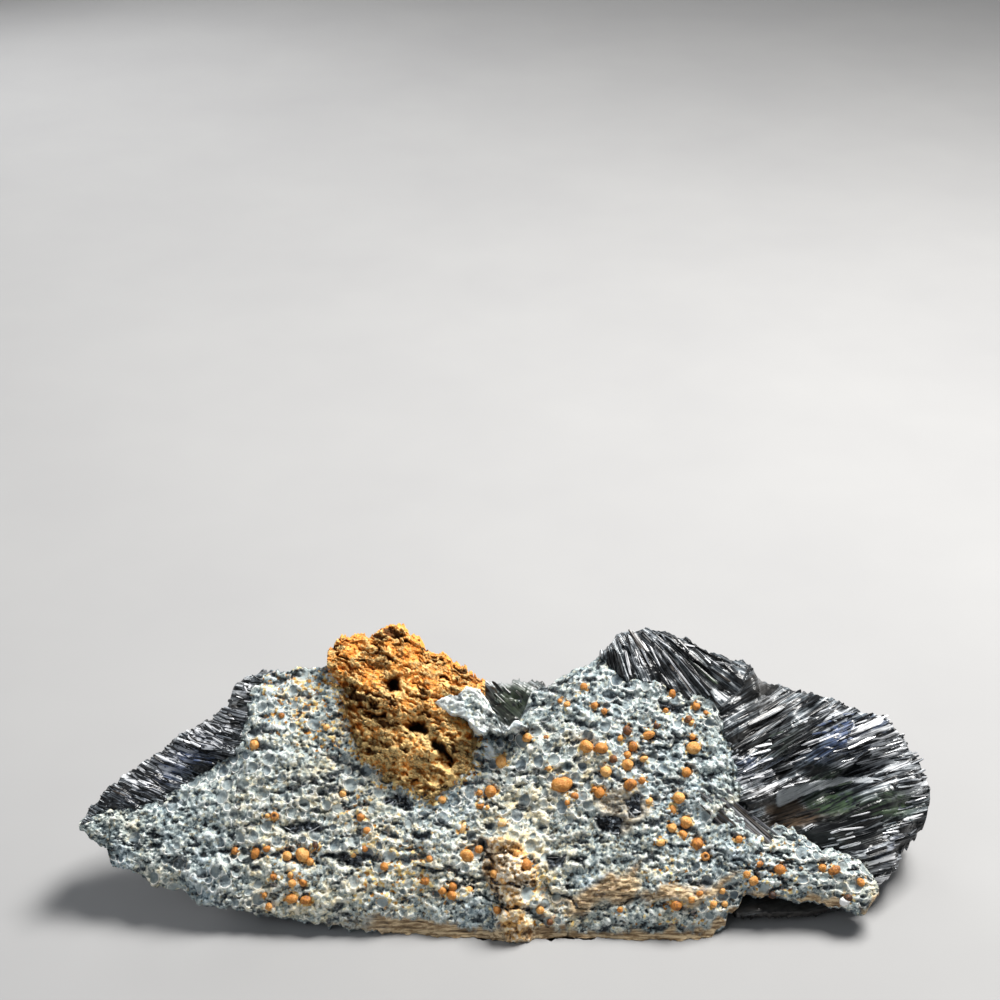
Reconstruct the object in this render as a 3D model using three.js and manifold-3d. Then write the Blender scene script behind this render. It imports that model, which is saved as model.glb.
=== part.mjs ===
// A hand specimen of vivianite: a slab of blue-grey rind, pitted where round grains have dropped out,
// with fans of dark bladed crystals at its right end and upper edges, a lump of orange ironstone
// and small brown ooliths bedded in it. Millimetres. World frame: +X along the slab, -Y the side
// that the pitted face looks to, +Z up. The pieces are laid out on that face, which leans back:
// u runs along it, v up its slope and w out of it.
import * as THREE from "three";
import { mergeVertices } from "three/addons/utils/BufferGeometryUtils.js";
import Module from "manifold-3d";

const wasm = await Module();
wasm.setup();

// ---- driving dimensions -------------------------------------------------------------------------

const FACE_LEAN = THREE.MathUtils.degToRad(48); // slope of the pitted face above the table
const FACE_FOOT = new THREE.Vector3(-0.6, -21.3, 1); // world place of u = v = w = 0
const SEAM = 0.35; // clearance between neighbouring pieces

// Outline of the slab on its face, [u, v].
const SLAB_LOWER_EDGE = [
  [-73.4, 17.8], [-71.4, 15.8], [-69, 15], [-68, 11.6], [-63, 10.4], [-61, 8.2], [-55, 7.2], [-52.8, 5.4],
  [-44, 3.9], [-35, 2.5], [-27, 1.2], [-18, 0], [-10, -1], [10, -1.4], [32, -1.4], [36, -0.4],
  [37.6, 2], [38.8, 6.6], [48, 6], [55, 5], [59, 3.6], [60.4, 4], [62.6, 6.8],
];
const SLAB_UPPER_EDGE = [
  [-73.4, 18.8], [-71, 20.4], [-60, 22.8], [-55, 26.5], [-49, 29.6], [-47, 32], [-46, 37], [-45, 42],
  [-42, 44.8], [-34, 45.6], [-20, 45.4], [-12, 43.4], [-6, 42.6], [-3.6, 40.2], [-0.4, 35.6], [1.8, 37],
  [4, 41.4], [7, 42.6], [10, 44.4], [16.6, 47.4], [19.4, 44], [25, 43.2], [31.5, 40.4], [36.5, 40.8],
  [38.4, 36], [39, 22.4], [41, 19.2], [48, 16.4], [55, 15.8], [58.4, 13.4], [62.6, 8.4],
];
// Thickness behind the face, [u, thickness], at the slab's foot, middle and top edge.
const SLAB_FOOT_DEPTH = [[-73.4, 1.4], [-60, 2], [-47, 3.4], [-34, 10], [-20, 18], [30, 18], [37, 12], [38.8, 5.4], [62.6, 3]];
const SLAB_MIDDLE_DEPTH = [[-73.4, 1.8], [-60, 6.5], [-47, 12], [-34, 18], [-15, 25], [25, 25], [37, 20], [38.8, 6], [62.6, 3.4]];
const SLAB_TOP_DEPTH = [[-73.4, 1.4], [-60, 5], [-47, 9], [-30, 12], [0, 14], [30, 14], [37, 10], [38.8, 5.4], [62.6, 3]];
const SLAB_CROWN = 2.2; // how far the face bulges between its lower and upper edges
const SLAB_STEP = 3.8; // widest spacing of its cross-sections
const SLAB_FACE_STEPS = 11;
const SLAB_BACK_STEPS = 5;
const BACK_RIDGES = 2; // height of the ridges on the broken back

// The buff ridge that runs up the middle of the face, the crack along its left side and the lip below.
const RIDGE = { u: 0.6, halfWidth: 3.8, top: 16, height: 2.4 };
const CRACK = { topU: -4.6, footU: -1.4, halfWidth: 1.3, depth: 2 };
const LIP = { height: 2.6, setback: 1.6 };
// A step down in the left wing of the face, [u, v] from end to end.
const LEDGE = { from: [-51, 17], to: [-47, 8], drop: 1.1, run: 5 };

// Round pits left by grains that fell out.
const PITS = { count: 36, smallest: 1.1, largest: 1.7, sink: 0.3 };

// A plate of rind that overhangs the ironstone.
const PLATE_OUTLINE = [[-12.4, 38.8], [-9.4, 40.6], [-5.4, 41.4], [-2.6, 37.6], [0.2, 34.6], [-2, 33], [-6, 34], [-9, 36]];
const PLATE = { thick: 3.4, proud: 0.2 };

// Brown ooliths, [u, v, width, height]; their centres stand off the face by a share of the height.
const OOLITHS = [
  [8.9, 25.2, 3.8, 3], [13.3, 31.6, 2.5, 2.6], [15.7, 31.6, 2.4, 2.3], [20.1, 28.9, 2.2, 2.1],
  [21.1, 31.9, 1.9, 1.9], [20.3, 25.6, 2.4, 2.2], [16.6, 27.5, 1.9, 1.9], [15.3, 23.9, 2, 1.9],
  [31.6, 31.6, 2.3, 2.5], [29.7, 18.9, 2.1, 2], [27.5, 17.8, 1.9, 1.9], [31.5, 15.4, 2.3, 2.2],
  [45.6, 11, 2.1, 2], [54.4, 11, 2.4, 2.1], [-1.3, 29.3, 1.9, 2.5], [-3.3, 24.1, 2.1, 2.2],
  [-7.2, 13.2, 2.5, 2.1], [-34.8, 13.2, 2.4, 2.9], [-36.9, 6.1, 2.3, 1.8], [-9.4, 7.8, 2, 1.9],
];
const OOLITH_PROUD = 0.15;

// Lump of ironstone bedded in the top of the face.
const LUMP_LOWER_EDGE = [
  [-31.4, 43.6], [-28.6, 40.2], [-27.4, 35.5], [-25.4, 30.6], [-22, 27.4], [-18, 25], [-13.5, 23.2],
  [-9.5, 25], [-6.6, 28], [-5.6, 34], [-5, 40.6],
];
const LUMP_UPPER_EDGE = [
  [-31.4, 48.4], [-30.2, 50.6], [-27.4, 51.2], [-23, 51.4], [-18.6, 52.2], [-16.4, 49.4], [-12, 47.4],
  [-8.4, 45.4], [-5, 42.8],
];
// It stands clear of the slab above that value of v.
const LUMP = { proud: 3.8, bed: 8.5, standsClear: 44, stations: 13, frontSteps: 10, backSteps: 3, rough: 0.9 };
const LUMP_HOLES = [[-20.4, 42, 1.6], [-15.8, 34.8, 1.6], [-10.6, 29.4, 1.6], [-24.8, 37.8, 1.1]]; // [u, v, radius]
const LUMP_GRAINS = { count: 13, smallest: 1.1, largest: 2 };

// Blades stand in rows. A row's tips follow an outline, [u, v]; headings are [share of the outline,
// degrees that the blades there point to]. Each layer lies at its own w, its tips drawn back by inset.
const FAN_ROW = {
  outline: [
    [42.6, 47], [46.4, 45.2], [50.7, 44], [56.7, 42.6], [63.4, 41], [68.6, 39.4], [72.4, 36.4],
    [75, 32.6], [75.8, 28.8], [75.6, 24.4], [74, 18.2], [71.4, 14.4], [69, 11.4], [64.4, 8],
    [62.4, 6.4], [58.6, 4.4], [50, 3.2], [42, 3],
  ],
  headings: [[0, 62], [0.15, 44], [0.35, 31], [0.5, 25], [0.7, 20], [0.82, 8], [1, -24]],
  length: 46,
  layers: [
    { w: -2.8, inset: 8, blades: 8, width: 4.8, thick: 3 },
    { w: -5.6, inset: 2.8, blades: 10, width: 5.8, thick: 4 },
    { w: -10, inset: 0.3, blades: 13, width: 7.4, thick: 7 },
    { w: -15.5, inset: 5, blades: 5, width: 12, thick: 7 },
  ],
};
const FAN_ROOM = { u: [39.2, 120], v: [2.2, 80], w: [-60, 20] }; // right of the slab's thick part
const FAN_HEART = { u: [39.2, 56], v: [5, 38], w: [-17, -6.5] }; // the solid mass its blades grow from

const CREST_ROW = {
  outline: [[16.8, 48.8], [19.4, 51.8], [22, 53.2], [25, 53.2], [28, 52], [31.4, 50.2], [35, 47.8], [39, 46.6], [43.4, 45.4]],
  headings: [[0, 106], [0.3, 124], [0.7, 132], [1, 150]],
  length: 20,
  layers: [
    { w: -1.9, inset: 1.2, blades: 9, width: 3.4, thick: 2.8 },
    { w: -5.4, inset: 0, blades: 8, width: 4.4, thick: 5.4 },
  ],
};
const CREST_ROOM = { u: [0, 44.5], v: [36, 80], w: [-60, 20] }; // over the slab's upper edge

// The strip across the broken upper-left edge of the slab, and the crystals in the notch of its top.
const EDGE_ROW = {
  outline: [[-73, 19.8], [-66.8, 27.4], [-57, 34.8], [-50.4, 39.4], [-48.4, 43.2], [-45, 45]],
  headings: [[0, 160], [1, 158]],
  length: 12,
  layers: [{ w: -3.8, inset: 0, blades: 12, width: 6, thick: 5.6 }],
};
const NOTCH_ROW = {
  outline: [[-5, 44], [0, 43.6], [5, 43.6]],
  headings: [[0, 122], [1, 66]],
  length: 10,
  layers: [{ w: -3.6, inset: 0, blades: 3, width: 4, thick: 5 }],
};

const BLADE_LEAN = 4; // degrees by which blades may lie out of line with each other
const COLOURS = { rind: 0x8c9a9e, crystal: 0x1b2029, ironstone: 0xb8792c, oolith: 0xa5682a };

// ---- helpers ------------------------------------------------------------------------------------

const { lerp, clamp, smoothstep, mapLinear, degToRad } = THREE.MathUtils;

// A repeatable number from 0 to 1 for whole-number places.
function hash(i, j = 0, k = 0) {
  const s = Math.sin(i * 127.1 + j * 311.7 + k * 74.7) * 43758.5453;
  return s - Math.floor(s);
}

// Smooth noise from -1 to 1 over a plane, with lumps about `size` across.
function lumps(x, y, seed, size) {
  const [i, j] = [Math.floor(x / size), Math.floor(y / size)];
  const [s, t] = [smoothstep(x / size - i, 0, 1), smoothstep(y / size - j, 0, 1)];
  const row = (n) => lerp(hash(i, n, seed), hash(i + 1, n, seed), s);
  return 2 * lerp(row(j), row(j + 1), t) - 1;
}

// The value that a list of [place, value] pairs gives at x, in straight lines between its places.
function along(list, x) {
  const next = list.findIndex(([place]) => place >= x);
  if (next === 0) return list[0][1];
  if (next < 0) return list[list.length - 1][1];
  const [[x0, y0], [x1, y1]] = [list[next - 1], list[next]];
  return mapLinear(x, x0, x1, y0, y1);
}

// Places for cross-sections: at each corner of the outlines, and evenly between them.
function stations(outlines, widest) {
  const corners = outlines.flat().map(([u]) => u).sort((a, b) => a - b);
  const places = [corners[0]];
  for (const corner of corners) {
    const last = places[places.length - 1];
    if (corner - last < widest / 3) continue;
    const parts = Math.ceil((corner - last) / widest);
    for (let n = 1; n <= parts; n++) places.push(lerp(last, corner, n / parts));
  }
  return places;
}

// The nth of a row of places that fill a unit square evenly, without clumps.
function scattered(n) {
  const [across, up] = [0.7548776662466927, 0.5698402909980532];
  return [(0.5 + n * across) % 1, (0.5 + n * up) % 1];
}

// A closed geometry as a solid that can be cut and joined.
function solid(geometry) {
  const bare = geometry.index ? geometry.toNonIndexed() : geometry.clone();
  for (const name of Object.keys(bare.attributes)) {
    if (name !== "position") bare.deleteAttribute(name);
  }
  const merged = mergeVertices(bare, 1e-4);
  const vertProperties = merged.attributes.position.array;
  const triVerts = new Uint32Array(merged.index.array);
  return new wasm.Manifold(new wasm.Mesh({ numProp: 3, vertProperties, triVerts }));
}

function join(solids) {
  return solids.reduce((all, one) => all.add(one));
}

// The largest single body of a solid, without loose slivers.
function mainBody(made) {
  return made.decompose().reduce((best, body) => (body.volume() > best.volume() ? body : best));
}

// The room a solid takes up with the seam's clearance all round it.
function roomFor(made) {
  const nudges = [[1, 0, 0], [-1, 0, 0], [0, 1, 0], [0, -1, 0], [0, 0, 1], [0, 0, -1]];
  return join([made, ...nudges.map((nudge) => made.translate(nudge.map((step) => step * SEAM)))]);
}

function mesh(name, made, color, roughness) {
  const { numProp, vertProperties, triVerts, numVert } = made.getMesh();
  const places = new Float32Array(numVert * 3);
  for (let n = 0; n < numVert; n++) {
    places.set(vertProperties.subarray(n * numProp, n * numProp + 3), n * 3);
  }
  const geometry = new THREE.BufferGeometry()
    .setAttribute("position", new THREE.BufferAttribute(places, 3))
    .setIndex(new THREE.BufferAttribute(triVerts, 1))
    .toNonIndexed();
  geometry.computeVertexNormals();
  const material = new THREE.MeshStandardMaterial({ color, roughness, metalness: 0, flatShading: true });
  const piece = new THREE.Mesh(geometry, material);
  piece.name = name;
  return piece;
}

// A closed skin over a row of rings of points, which all go round the same way.
function skin(rings) {
  const size = rings[0].length;
  const middle = (ring) => ring.reduce((sum, p) => sum.add(p), new THREE.Vector3()).divideScalar(size);
  const places = [...rings.flat(), middle(rings[0]), middle(rings[rings.length - 1])];
  const [startCap, endCap] = [places.length - 2, places.length - 1];
  const last = (rings.length - 1) * size;
  const faces = [];
  for (let n = 0; n < size; n++) {
    const next = (n + 1) % size;
    for (let r = 0; r + 1 < rings.length; r++) {
      const [a, b] = [r * size + n, r * size + next];
      faces.push(a, b + size, b, a, a + size, b + size);
    }
    faces.push(startCap, n, next, endCap, last + next, last + n);
  }
  return solid(new THREE.BufferGeometry().setFromPoints(places).setIndex(faces));
}

// A round grain of the given radii.
function grain(radii, turn, centre) {
  const ball = new THREE.OctahedronGeometry(1, 1).rotateX(turn).rotateY(2 * turn);
  return solid(ball.scale(...radii).translate(...centre));
}

// A flat-sided blade with a slanted tip at [u, v], growing towards `heading` (degrees) on the face.
function blade([u, v], w, heading, size, slant, lean) {
  const { length, width, thick } = size;
  const half = width / 2;
  const outline = new THREE.Shape([
    new THREE.Vector2(-length, -half),
    new THREE.Vector2(-slant * width, -half),
    new THREE.Vector2(0, half * (1 - 2 * slant)),
    new THREE.Vector2(-(1 - slant) * width, half),
    new THREE.Vector2(-length, half),
  ]);
  const made = new THREE.ExtrudeGeometry(outline, { depth: thick, bevelEnabled: false });
  made.translate(0, 0, -thick / 2).rotateY(degToRad(lean)).rotateZ(degToRad(heading));
  return solid(made.translate(u, v, w));
}

// A box between two values of u, of v and of w.
function block({ u, v, w }) {
  const box = new THREE.BoxGeometry(u[1] - u[0], v[1] - v[0], w[1] - w[0]);
  return solid(box.translate((u[0] + u[1]) / 2, (v[0] + v[1]) / 2, (w[0] + w[1]) / 2));
}

// ---- the slab -----------------------------------------------------------------------------------

// Height of the pitted face over its own plane.
function faceHeight(u, v) {
  const [low, high] = [along(SLAB_LOWER_EDGE, u), along(SLAB_UPPER_EDGE, u)];
  const s = clamp((v - low) / (high - low), 0, 1);
  let w = SLAB_CROWN * (1 - (2 * s - 1) ** 4) + lumps(u, v, 3, 13) + 0.7 * lumps(u, v, 7, 5.5);
  const across = Math.max(0, 1 - ((u - RIDGE.u) / RIDGE.halfWidth) ** 2);
  w += RIDGE.height * across * clamp((RIDGE.top - v) / 4, 0, 1);
  const crackU = mapLinear(v, RIDGE.top, 0, CRACK.topU, CRACK.footU);
  const inCrack = Math.max(0, 1 - Math.abs(u - crackU) / CRACK.halfWidth);
  w -= CRACK.depth * inCrack * clamp((RIDGE.top + 2 - v) / 2, 0, 1);
  const ledgeU = mapLinear(v, LEDGE.from[1], LEDGE.to[1], LEDGE.from[0], LEDGE.to[0]);
  const onLedge = smoothstep(v, LEDGE.to[1] - 3, LEDGE.to[1]) * (1 - smoothstep(v, LEDGE.from[1], LEDGE.from[1] + 3));
  if (u > ledgeU) w -= LEDGE.drop * onLedge * (1 - smoothstep(u, ledgeU, ledgeU + LEDGE.run));
  const underLip = clamp((low + LIP.height - v) / LIP.height, 0, 1);
  const lipShare = smoothstep(u, -40, -24) * (1 - smoothstep(u, 34, 38));
  return w - LIP.setback * lipShare * underLip ** 2;
}

// Depth of the slab behind its face, s running from its foot to its top edge.
function slabDepth(u, s) {
  const middle = along(SLAB_MIDDLE_DEPTH, u);
  const edge = along(s < 0.5 ? SLAB_FOOT_DEPTH : SLAB_TOP_DEPTH, u);
  const towardsMiddle = 1 - Math.abs(2 * s - 1);
  return lerp(edge, middle, Math.sin((towardsMiddle * Math.PI) / 2));
}

function slabBlank() {
  const rings = stations([SLAB_LOWER_EDGE, SLAB_UPPER_EDGE], SLAB_STEP).map((u, row) => {
    const [low, high] = [along(SLAB_LOWER_EDGE, u), along(SLAB_UPPER_EDGE, u)];
    const ring = [];
    for (let i = 0; i <= SLAB_FACE_STEPS; i++) {
      const v = lerp(low, high, i / SLAB_FACE_STEPS);
      ring.push(new THREE.Vector3(u, v, faceHeight(u, v)));
    }
    for (let i = SLAB_BACK_STEPS; i >= 0; i--) {
      const s = i / SLAB_BACK_STEPS;
      const depth = slabDepth(u, s);
      const ridges = BACK_RIDGES * (depth / 25) * (2 * hash(row, Math.floor(i / 2), 19) - 1);
      ring.push(new THREE.Vector3(u, lerp(low, high, s), faceHeight(u, lerp(low, high, s)) - depth - ridges));
    }
    return ring;
  });
  return skin(rings);
}

function pits() {
  const made = [];
  for (let n = 0; made.length < PITS.count; n++) {
    const [a, b] = scattered(n);
    const u = lerp(-70, 60, a);
    const v = lerp(along(SLAB_LOWER_EDGE, u), along(SLAB_UPPER_EDGE, u), lerp(0.08, 0.94, b));
    const radius = lerp(PITS.smallest, PITS.largest, hash(n, 5));
    const ball = new THREE.IcosahedronGeometry(radius, 0).rotateX(n).rotateY(2 * n);
    made.push(solid(ball.translate(u, v, faceHeight(u, v) + radius * PITS.sink)));
  }
  return made;
}

function rindPlate() {
  const outline = new THREE.Shape(PLATE_OUTLINE.map(([u, v]) => new THREE.Vector2(u, v)));
  const made = new THREE.ExtrudeGeometry(outline, { depth: PLATE.thick, bevelEnabled: false });
  return solid(made.translate(0, 0, faceHeight(-6, 37) + PLATE.proud));
}

// ---- the ironstone lump -------------------------------------------------------------------------

// How full the lump is at (u, v), from 0 at its outline to 1 in its middle.
function lumpFullness(u, v) {
  const [low, high] = [along(LUMP_LOWER_EDGE, u), along(LUMP_UPPER_EDGE, u)];
  const s = clamp((v - low) / (high - low), 0.06, 0.94);
  const [start, end] = [LUMP_LOWER_EDGE[0][0], LUMP_LOWER_EDGE[LUMP_LOWER_EDGE.length - 1][0]];
  const t = clamp((u - start) / (end - start), 0.08, 0.92);
  return Math.sin(Math.PI * s) ** 0.6 * Math.sin(Math.PI * t) ** 0.5;
}

function lumpHeight(u, v) {
  return faceHeight(u, Math.min(v, LUMP.standsClear)) + LUMP.proud * lumpFullness(u, v) + LUMP.rough * lumps(u, v, 31, 3.4);
}

function ironstone() {
  const [start, end] = [LUMP_LOWER_EDGE[0][0], LUMP_LOWER_EDGE[LUMP_LOWER_EDGE.length - 1][0]];
  const rings = [];
  for (let n = 0; n <= LUMP.stations; n++) {
    const u = lerp(start, end, n / LUMP.stations);
    const [low, high] = [along(LUMP_LOWER_EDGE, u), along(LUMP_UPPER_EDGE, u)];
    const ring = [];
    for (let i = 0; i <= LUMP.frontSteps; i++) {
      const v = lerp(low, high, i / LUMP.frontSteps);
      ring.push(new THREE.Vector3(u, v, lumpHeight(u, v)));
    }
    for (let i = LUMP.backSteps; i >= 0; i--) {
      const v = lerp(low, high, i / LUMP.backSteps);
      ring.push(new THREE.Vector3(u, v, faceHeight(u, Math.min(v, LUMP.standsClear)) - 1 - LUMP.bed * lumpFullness(u, v)));
    }
    rings.push(ring);
  }
  let made = skin(rings);
  for (let n = 0; n < LUMP_GRAINS.count; n++) {
    const [a, b] = scattered(n + 11);
    const u = lerp(-28, -8, a);
    const v = lerp(along(LUMP_LOWER_EDGE, u), along(LUMP_UPPER_EDGE, u), lerp(0.1, 0.94, b));
    const radius = lerp(LUMP_GRAINS.smallest, LUMP_GRAINS.largest, hash(n, 3));
    const knob = new THREE.IcosahedronGeometry(radius, 0).rotateX(n).rotateY(2 * n);
    made = made.add(solid(knob.translate(u, v, lumpHeight(u, v) - radius * 0.3)));
  }
  for (const [u, v, radius] of LUMP_HOLES) {
    const hole = new THREE.IcosahedronGeometry(radius, 0).scale(1.3, 0.9, 1.8).rotateZ(-0.4);
    made = made.subtract(solid(hole.translate(u, v, lumpHeight(u, v) - 0.4)));
  }
  return made;
}

// ---- crystals -----------------------------------------------------------------------------------

// The point at a share of the way along an outline.
function pointAlong(outline, share) {
  const points = outline.map(([u, v]) => new THREE.Vector2(u, v));
  const path = new THREE.CurvePath();
  for (let n = 1; n < points.length; n++) path.add(new THREE.LineCurve(points[n - 1], points[n]));
  return path.getPointAt(share);
}

// Blades in layers one behind the other, their tips along the row's outline.
function bladeRow({ outline, headings, length, layers }, seed) {
  const made = layers.flatMap(({ w, inset, blades, width, thick }, row) =>
    Array.from({ length: blades }, (_, n) => {
      const vary = (kind) => hash(n, row + kind, seed) - 0.5;
      const share = (n + 0.5 + 0.4 * vary(0)) / blades;
      const heading = along(headings, share) + 4 * vary(5);
      const back = inset + 1.6 * (vary(10) + 0.5);
      const tip = pointAlong(outline, share);
      const turn = degToRad(heading);
      const place = [tip.x - back * Math.cos(turn), tip.y - back * Math.sin(turn)];
      const size = { length, width: width * (1 + 0.5 * vary(15)), thick };
      return blade(place, w + 1.4 * vary(20), heading, size, 0.5 + vary(25), 2 * BLADE_LEAN * vary(30));
    }),
  );
  return join(made);
}

// ---- the specimen -------------------------------------------------------------------------------

const specimen = new THREE.Group();
const face = new THREE.Group();
face.rotation.x = FACE_LEAN;
face.position.copy(FACE_FOOT);
specimen.add(face);
face.updateMatrixWorld(true);

// Everything below the table's top, in the face's own axes: the flat base that the specimen rests on.
const toFace = new THREE.Matrix4().copy(face.matrixWorld).invert();
const belowTable = solid(new THREE.BoxGeometry(400, 400, 100).translate(0, 0, -50).applyMatrix4(toFace));

const ooliths = OOLITHS.map(([u, v, width, height], n) => {
  const centre = [u, v, faceHeight(u, v) + OOLITH_PROUD * height];
  const radii = [width / 2, height / 2, height / 2];
  return { bead: grain(radii, n, centre), socket: grain(radii.map((r) => r + SEAM + 0.05), n, centre) };
});

const plate = rindPlate();
const lump = mainBody(ironstone().subtract(roomFor(plate)));
const slabBody = slabBlank().subtract(belowTable);
let slab = slabBody.subtract(roomFor(lump)).add(plate);
for (const pit of pits()) slab = slab.subtract(pit);
for (const { socket } of ooliths) slab = slab.subtract(socket);
const slabRoom = roomFor(slabBody.add(plate));

const fan = bladeRow(FAN_ROW, 1).intersect(block(FAN_ROOM)).add(block(FAN_HEART));
const crest = bladeRow(CREST_ROW, 2).intersect(block(CREST_ROOM));

face.add(mesh("rind_slab", mainBody(slab), COLOURS.rind, 0.85));
face.add(mesh("right_crystals", mainBody(fan.add(crest).subtract(slabRoom).subtract(belowTable)), COLOURS.crystal, 0.25));
face.add(mesh("edge_crystals", mainBody(bladeRow(EDGE_ROW, 3).subtract(slabRoom)), COLOURS.crystal, 0.3));
face.add(mesh("notch_crystals", mainBody(bladeRow(NOTCH_ROW, 4).subtract(slabRoom).subtract(roomFor(lump))), COLOURS.crystal, 0.2));
face.add(mesh("ironstone", lump, COLOURS.ironstone, 0.9));
ooliths.forEach(({ bead }, n) => {
  face.add(mesh("oolith_" + String(n + 1).padStart(2, "0"), bead, COLOURS.oolith, 0.5));
});

export default specimen;
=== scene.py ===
"""Looks of the vivianite specimen: pitted rind, bladed crystals, ironstone and ooliths.

Pieces are laid out in the axes of the pitted face, in millimetres: u runs along it, v up its
slope and w out of it. They are turned into metres in the shared frame when a mesh is made.
"""

import math

import bpy
import numpy as np
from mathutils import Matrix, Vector
from mathutils.bvhtree import BVHTree


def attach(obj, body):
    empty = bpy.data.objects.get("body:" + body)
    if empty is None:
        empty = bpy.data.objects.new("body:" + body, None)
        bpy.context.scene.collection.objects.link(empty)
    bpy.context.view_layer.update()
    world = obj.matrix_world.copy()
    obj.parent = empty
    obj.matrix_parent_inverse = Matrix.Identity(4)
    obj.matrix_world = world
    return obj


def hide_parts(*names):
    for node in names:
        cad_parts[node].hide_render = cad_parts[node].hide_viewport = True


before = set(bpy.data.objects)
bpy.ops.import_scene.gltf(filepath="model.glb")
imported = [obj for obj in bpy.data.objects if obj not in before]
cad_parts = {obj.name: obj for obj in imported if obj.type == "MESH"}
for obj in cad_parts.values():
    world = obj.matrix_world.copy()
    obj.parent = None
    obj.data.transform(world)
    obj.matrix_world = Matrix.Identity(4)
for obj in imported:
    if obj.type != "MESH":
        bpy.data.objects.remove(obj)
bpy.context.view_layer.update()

# ---- places on the face, in millimetres ---------------------------------------------------------

LEAN = math.radians(48)  # slope of the pitted face above the table
FOOT = np.array([-0.6, -21.3, 1.0])  # where u = v = w = 0 stands

SLAB_LOW = [
    [-73.4, 17.8], [-71.4, 15.8], [-69, 15], [-68, 11.6], [-63, 10.4], [-61, 8.2], [-55, 7.2], [-52.8, 5.4],
    [-44, 3.9], [-35, 2.5], [-27, 1.2], [-18, 0], [-10, -1], [10, -1.4], [32, -1.2], [34.4, -0.8], [35.2, 0.9],
    [36.8, 1.3], [37.2, 3.6], [39, 4.4], [39.8, 6.8], [44, 6.6], [48, 6], [55, 5], [59, 3.6], [60.4, 4],
    [62.6, 6.8],
]
SLAB_HIGH = [
    [-73.4, 18.8], [-71, 20.4], [-60, 22.8], [-55, 26.5], [-49, 29.6], [-47, 32], [-46, 37], [-45, 42],
    [-42, 44.8], [-34, 45.6], [-20, 45.4], [-12, 43.4], [-6, 42.6], [-3.6, 39], [-1, 34.2], [1.8, 36.6],
    [4, 41.4], [7, 42.6], [10, 44.4], [16.6, 47.4], [19.4, 44], [25, 43.2], [31.5, 40.4], [35.4, 40.6],
    [36.4, 38], [37, 36.8], [37.6, 33.4], [38.2, 32.6], [38.6, 29], [39.2, 28.2], [39.6, 24.8], [40.2, 24],
    [40.6, 20.6], [41.4, 19.2], [43.6, 17.2], [45.4, 18.3], [50.4, 17.2], [52, 15.8], [53.4, 13.9],
    [55.5, 14.4], [58.8, 12.8], [60.8, 11], [62.6, 8.4],
]
LUMP_LOW = [
    [-31.4, 43.6], [-28.6, 40.2], [-27.4, 35.5], [-25.4, 30.6], [-22, 27.4], [-18, 25], [-13.5, 23.2],
    [-9.5, 25], [-6.6, 28], [-5.6, 34], [-5, 40.6],
]
LUMP_HIGH = [
    [-31.4, 48.4], [-30.6, 49.8], [-29, 50.6], [-27.4, 50.8], [-23, 51.6], [-20.4, 52.4], [-18.6, 52.6],
    [-17.4, 50.8], [-15.6, 50], [-14.6, 48.6], [-11.6, 47.8], [-8.4, 45.6], [-6, 44], [-5, 42.8],
]
FLAP = [
    [-12.9, 39.2], [-11.2, 39.9], [-9.4, 40.4], [-7.4, 41.4], [-5.1, 41.6], [-3.2, 39.9], [-1.6, 38.8],
    [1.9, 36], [3.4, 34.4], [-0.7, 33.3], [-5.1, 33.8], [-8.2, 36], [-11, 37.1],
]
LUMP = [*LUMP_LOW, *LUMP_HIGH[::-1]]
COLUMN = [[-3, 16.2], [0.4, 17], [3, 15], [3.8, 9], [3, 5], [4.6, -2], [-1.6, -2], [-1.4, 5], [-3.6, 11]]
CRACKS = [
    [[-4.8, 16], [-3.6, 10.5], [-0.9, 4.9]],
    [[-15.5, 11.6], [-10.7, 10.3], [-5.5, 8], [-1, 4.9]],
    [[-31.5, 13.9], [-27, 12], [-22.4, 12.4]],
    [[5.8, 8.4], [11, 5.2], [17, 4.6], [22, 6]],
    [[24, 33.2], [28, 31.6], [30.4, 32.6]],
    [[-3.6, 12.4], [-0.6, 13.4], [3.4, 12.4]],
    [[-2.4, 8.8], [0.6, 7.8], [3.6, 9]],
    [[-1.8, 4.4], [1.2, 5], [3.8, 3.4]],
    [[44, 13.6], [48.6, 11.4], [54, 11.6]],
]
BROWN_PATCHES = [
    [[7.6, 5], [12, 6], [17, 9.6], [22.4, 11.2], [22.8, 7.6], [17, 5], [11, 3.8]],
    [[22.4, 6.6], [29, 8], [33, 8.6], [39.4, 11.6], [38.6, 8.4], [31, 5.8], [24, 5.2]],
    [[15, 24.6], [22, 26], [23.6, 20], [19, 16.4], [15.4, 19]],
]
# Hollows lined with small dark crystals.
DARK_HOLLOWS = [
    [[-22, 22.4], [-19.6, 23.9], [-16.2, 22.4], [-16.8, 20.9], [-20, 21.2]],
    [[-16.6, 17.2], [-13.6, 17.4], [-13.2, 15.4], [-16, 15.6]],
    [[-38.6, 18.4], [-33, 19.2], [-30.4, 17.6], [-33.4, 16.8], [-38, 17]],
    [[-31.6, 13.4], [-26, 13.8], [-22.2, 12.6], [-26, 11.4]],
    [[6.4, 13.2], [9.8, 13.4], [9.4, 11.2], [6.8, 11]],
    [[10.4, 12.8], [13.4, 13.2], [12.6, 11.2]],
    [[14.2, 19.6], [17, 20.4], [19.6, 19], [18.4, 16.6], [15.6, 17.4]],
    [[19.6, 23], [22.6, 23.4], [22.2, 19.6], [20.2, 19.8]],
    [[22.6, 34.8], [26.2, 33.6], [27, 32.6], [23, 33.4]],
    [[26.2, 40.4], [29.6, 39.2], [29, 37.6], [26.6, 38.6]],
]
WHITE_SPOTS = [[-5.4, 34.6, 1.1], [-3.2, 30.6, 1.4], [56.4, 4.8, 1.2], [-8.6, 27, 0.8], [31, 41.6, 1.8]]
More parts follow.
